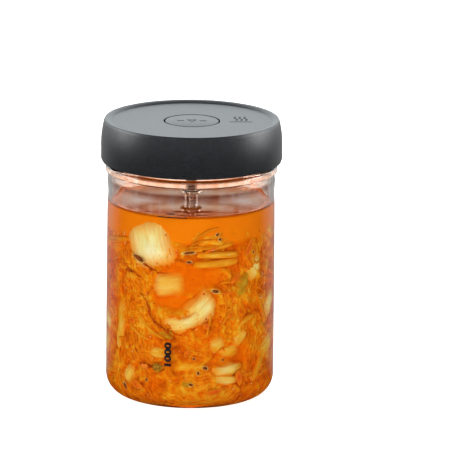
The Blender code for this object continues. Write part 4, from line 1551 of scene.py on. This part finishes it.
# %% Rib colour
def rib_color(tree):
    _crest, rim, tint = look_marks(tree)
    fibres = noise_value(tree, flat_place(tree, (0.06, 0.8, 1.0)), 0.9, 3.0, 0.55)
    blotch = noise_value(tree, flat_place(tree, (0.6, 1.0, 1.0)), 0.14, 2.0, 0.5)
    pale = ramp(tree, fibres, [(0.30, (0.95, 0.74, 0.48)), (0.46, (0.98, 0.89, 0.76)),
                               (0.62, (1.00, 0.97, 0.93))])
    gold = ramp(tree, fibres, [(0.30, (0.80, 0.36, 0.03)), (0.52, (0.90, 0.52, 0.09)),
                               (0.70, (0.94, 0.66, 0.22))])
    stain = calculate(tree, "SUBTRACT", blotch, tint)
    color = blend_colors(tree, remap(tree, stain, -0.62, 0.02), pale, gold)
    cool = remap(tree, noise_value(tree, flat_place(tree), 0.12, 1.0), 0.50, 0.68, 0.0, 0.45)
    color = blend_colors(tree, cool, color, (0.94, 0.78, 0.42))
    return blend_colors(tree, soft_rim(tree, rim, 0.30, 0.6), color, (0.90, 0.26, 0.008))


print("rib colour ready")

# %% [markdown]
# ## Colours of the leaves and strips
#
# A leaf is light on its crests and red-brown in its folds, a painted highlight and painted shade that
# follow its crumples. One ramp runs from brown through orange to cream, and a deeper one takes over in
# blotches, because no two leaves have soaked up the same. Strips have fibres like ribs, but are thinner
# and so more orange. The cloudy brine is one slow drift of orange.

# %% Leaf colour
def leaf_color(tree):
    crest, rim, tint = look_marks(tree)
    place = flat_place(tree, (0.6, 1.0, 0.8))
    folds = noise_value(tree, place, 0.17, 3.0, 0.55, 1.4)
    waves = {"Vector": place, "Scale": 0.15, "Distortion": 9.0, "Detail": 2.0, "Detail Scale": 1.3}
    lines = add(tree, "ShaderNodeTexWave", waves, bands_direction="Y").outputs["Fac"]
    fine = calculate(tree, "MULTIPLY_ADD", lines, 0.22, folds)
    # Painted highlight and shade: the crest mark makes the leaf lighter on its crests and darker in its
    # folds.
    raised = calculate(tree, "MULTIPLY_ADD", crest, 0.42, fine)
    level = calculate(tree, "MULTIPLY_ADD", tint, 0.22, raised)
    patch = remap(tree, noise_value(tree, object_place(tree), 62.0, 2.0, 0.5), 0.34, 0.66, -0.14, 0.16)
    level = calculate(tree, "ADD", level, patch)
    light = ramp(tree, remap(tree, level, 0.48, 1.20), [
        (0.06, (0.24, 0.036, 0.003)), (0.20, (0.52, 0.092, 0.003)), (0.36, (0.75, 0.165, 0.004)),
        (0.56, (0.86, 0.260, 0.006)), (0.76, (0.91, 0.365, 0.014)), (0.96, (0.95, 0.560, 0.085))])
    deep = ramp(tree, remap(tree, level, 0.45, 1.20), [
        (0.08, (0.30, 0.028, 0.003)), (0.30, (0.68, 0.095, 0.003)), (0.62, (0.86, 0.190, 0.005)),
        (0.92, (0.92, 0.340, 0.016))])
    blotch = noise_value(tree, object_place(tree), 34.0, 2.0, 0.5)
    color = blend_colors(tree, remap(tree, blotch, 0.40, 0.62), light, deep)
    green = blend_colors(tree, folds, (0.26, 0.13, 0.008), (0.74, 0.50, 0.08))
    color = blend_colors(tree, remap(tree, tint, -0.10, -0.40), color, green)
    return blend_colors(tree, remap(tree, rim, 0.80, 1.0, 0.0, 0.5), color, (0.90, 0.30, 0.010))


print("leaf colour ready")

# %% Strip and cloud colours
def strip_color(tree):
    _crest, rim, tint = look_marks(tree)
    fibres = noise_value(tree, flat_place(tree, (0.08, 0.7, 1.0)), 0.9, 3.0, 0.5)
    pale = ramp(tree, fibres, [(0.3, (0.80, 0.28, 0.010)), (0.5, (0.88, 0.38, 0.024)),
                               (0.7, (0.94, 0.53, 0.085))])
    deep = ramp(tree, fibres, [(0.3, (0.66, 0.16, 0.005)), (0.7, (0.88, 0.30, 0.010))])
    color = blend_colors(tree, remap(tree, tint, 0.2, 0.8), deep, pale)
    return blend_colors(tree, remap(tree, rim, 0.50, 1.0, 0.0, 0.8), color, (0.87, 0.25, 0.008))


def cloud_color(tree):
    drift = noise_value(tree, object_place(tree), 60.0, 2.0)
    return ramp(tree, drift, [(0.3, (0.94, 0.235, 0.002)), (0.7, (0.97, 0.275, 0.003))])


print("strip and cloud colours ready")

# %% Bumps
def fibre_bump(tree):
    return noise_value(tree, flat_place(tree, (0.10, 0.9, 1.0)), 1.0, 3.0)


def wrinkle_bump(tree):
    return noise_value(tree, flat_place(tree, (0.35, 1.0, 1.0)), 0.5, 2.0, 0.5, 1.0)


def cloud_bump(tree):
    return noise_value(tree, object_place(tree), 90.0, 1.0)


print("bumps ready")

# %% [markdown]
# ## Colours of the small bits
#
# The small bits need only two tones of a fine grain, and a third colour that takes over towards the rim
# or with the tint. One function makes such a colour from plain values, so that each bit is a row of
# numbers and not a node tree of its own. Only the red patches differ, since they go from red to orange by
# their tint.

# %% Small colours
RIM = 1
TINT = 2


def two_tones(place_of, scale, detail, tones, mark, span, last, most=1.0):
    """A colour function: a ramp through a grain, going over to a last colour along a mark."""
    def color_of(tree):
        tone = ramp(tree, noise_value(tree, place_of(tree), scale, detail), tones)
        return blend_colors(tree, remap(tree, look_marks(tree)[mark], *span, 0.0, most), tone, last)
    return color_of


def red_color(tree):
    _crest, rim, tint = look_marks(tree)
    drift = noise_value(tree, flat_place(tree, (0.5, 1.0, 1.0)), 0.6, 3.0)
    red = ramp(tree, drift, [(0.3, (0.62, 0.030, 0.002)), (0.7, (0.86, 0.13, 0.006))])
    orange = ramp(tree, drift, [(0.3, (0.80, 0.11, 0.004)), (0.7, (0.90, 0.22, 0.010))])
    soaked = blend_colors(tree, tint, red, orange)
    return blend_colors(tree, remap(tree, rim, 0.35, 1.0), soaked, (0.88, 0.24, 0.008))


# Painted shade and highlight: a pocket is dark brown inside and pale towards its rim.
pocket_color = two_tones(object_place, 500.0, 2.0, [(0.3, (0.13, 0.018, 0.003)), (0.7, (0.34, 0.075, 0.008))],
                         RIM, (0.72, 0.96), (0.93, 0.58, 0.20))
flake_color = two_tones(object_place, 900.0, 2.0, [(0.3, (0.16, 0.012, 0.002)), (0.7, (0.40, 0.030, 0.003))],
                        TINT, (0.4, 0.8), (0.72, 0.06, 0.003))
# Painted highlight: the bubbles are pale cream, going orange towards the rim.
bubble_color = two_tones(object_place, 900.0, 2.0, [(0.3, (0.95, 0.60, 0.30)), (0.7, (0.98, 0.80, 0.58))],
                         RIM, (0.5, 0.9), (0.85, 0.36, 0.06))
# Painted shade: the crease lines are dark red-brown.
crease_color = two_tones(flat_place, 0.5, 3.0, [(0.35, (0.32, 0.034, 0.002)), (0.65, (0.58, 0.095, 0.004))],
                         TINT, (0.5, 1.0), (0.70, 0.15, 0.006), 0.6)
# Painted shade: the carrot turns dark brown towards its rim.
carrot_color = two_tones(flat_place, 0.7, 3.0, [(0.3, (0.88, 0.17, 0.008)), (0.7, (0.95, 0.30, 0.04))],
                         RIM, (0.55, 0.85), (0.36, 0.050, 0.004))
scallion_color = two_tones(flat_place, 0.7, 3.0, [(0.35, (0.20, 0.075, 0.008)), (0.60, (0.56, 0.26, 0.026))],
                           RIM, (0.75, 1.0), (0.60, 0.22, 0.012))
print("small colours ready")

# %% [markdown]
# ## The finished heap
#
# All pieces of one kind are joined, because hundreds of objects would slow every later step. The joined
# ribs stand for the solid heap of the CAD model, and everything rides the jar. The blanks have done their
# work and go.

# %% Finished heap
rib_material = food_shader("cabbage_rib", rib_color, fibre_bump)
leaf_material = food_shader("cabbage_leaf", leaf_color, wrinkle_bump)
strip_material = food_shader("vegetable_strip", strip_color, fibre_bump)
finished(join_pieces("cabbage_ribs", made["rib"]), "jar", "pickle", rib_material, "kimchi")
finished(join_pieces("cabbage_leaves", made["leaf"]), "jar", "pickle", leaf_material)
finished(join_pieces("vegetable_strips", made["strip"]), "jar", "pickle", strip_material)
finished(core, "jar", "pickle", leaf_material)
SMALL_PIECES = (
    ("gas_pockets", small["pocket"], pocket_color),
    ("red_patches", small["red"], red_color),
    ("chili_flakes", small["flake"], flake_color),
    ("leaf_creases", creases, crease_color),
    ("gas_bubbles", small["bubble"], bubble_color),
    ("carrot_bit", [carrot], carrot_color),
    ("scallion_bit", [scallion], scallion_color),
)
for name, items, color_of in SMALL_PIECES:
    finished(join_pieces(name, items), "jar", "pickle", food_shader(name, color_of, fibre_bump))
finished(cloud, "jar", "pickle", food_shader("cloudy_brine", cloud_color, cloud_bump))
for item in BLANKS.values():
    bpy.data.objects.remove(item)
print("blanks removed:", len(BLANKS))
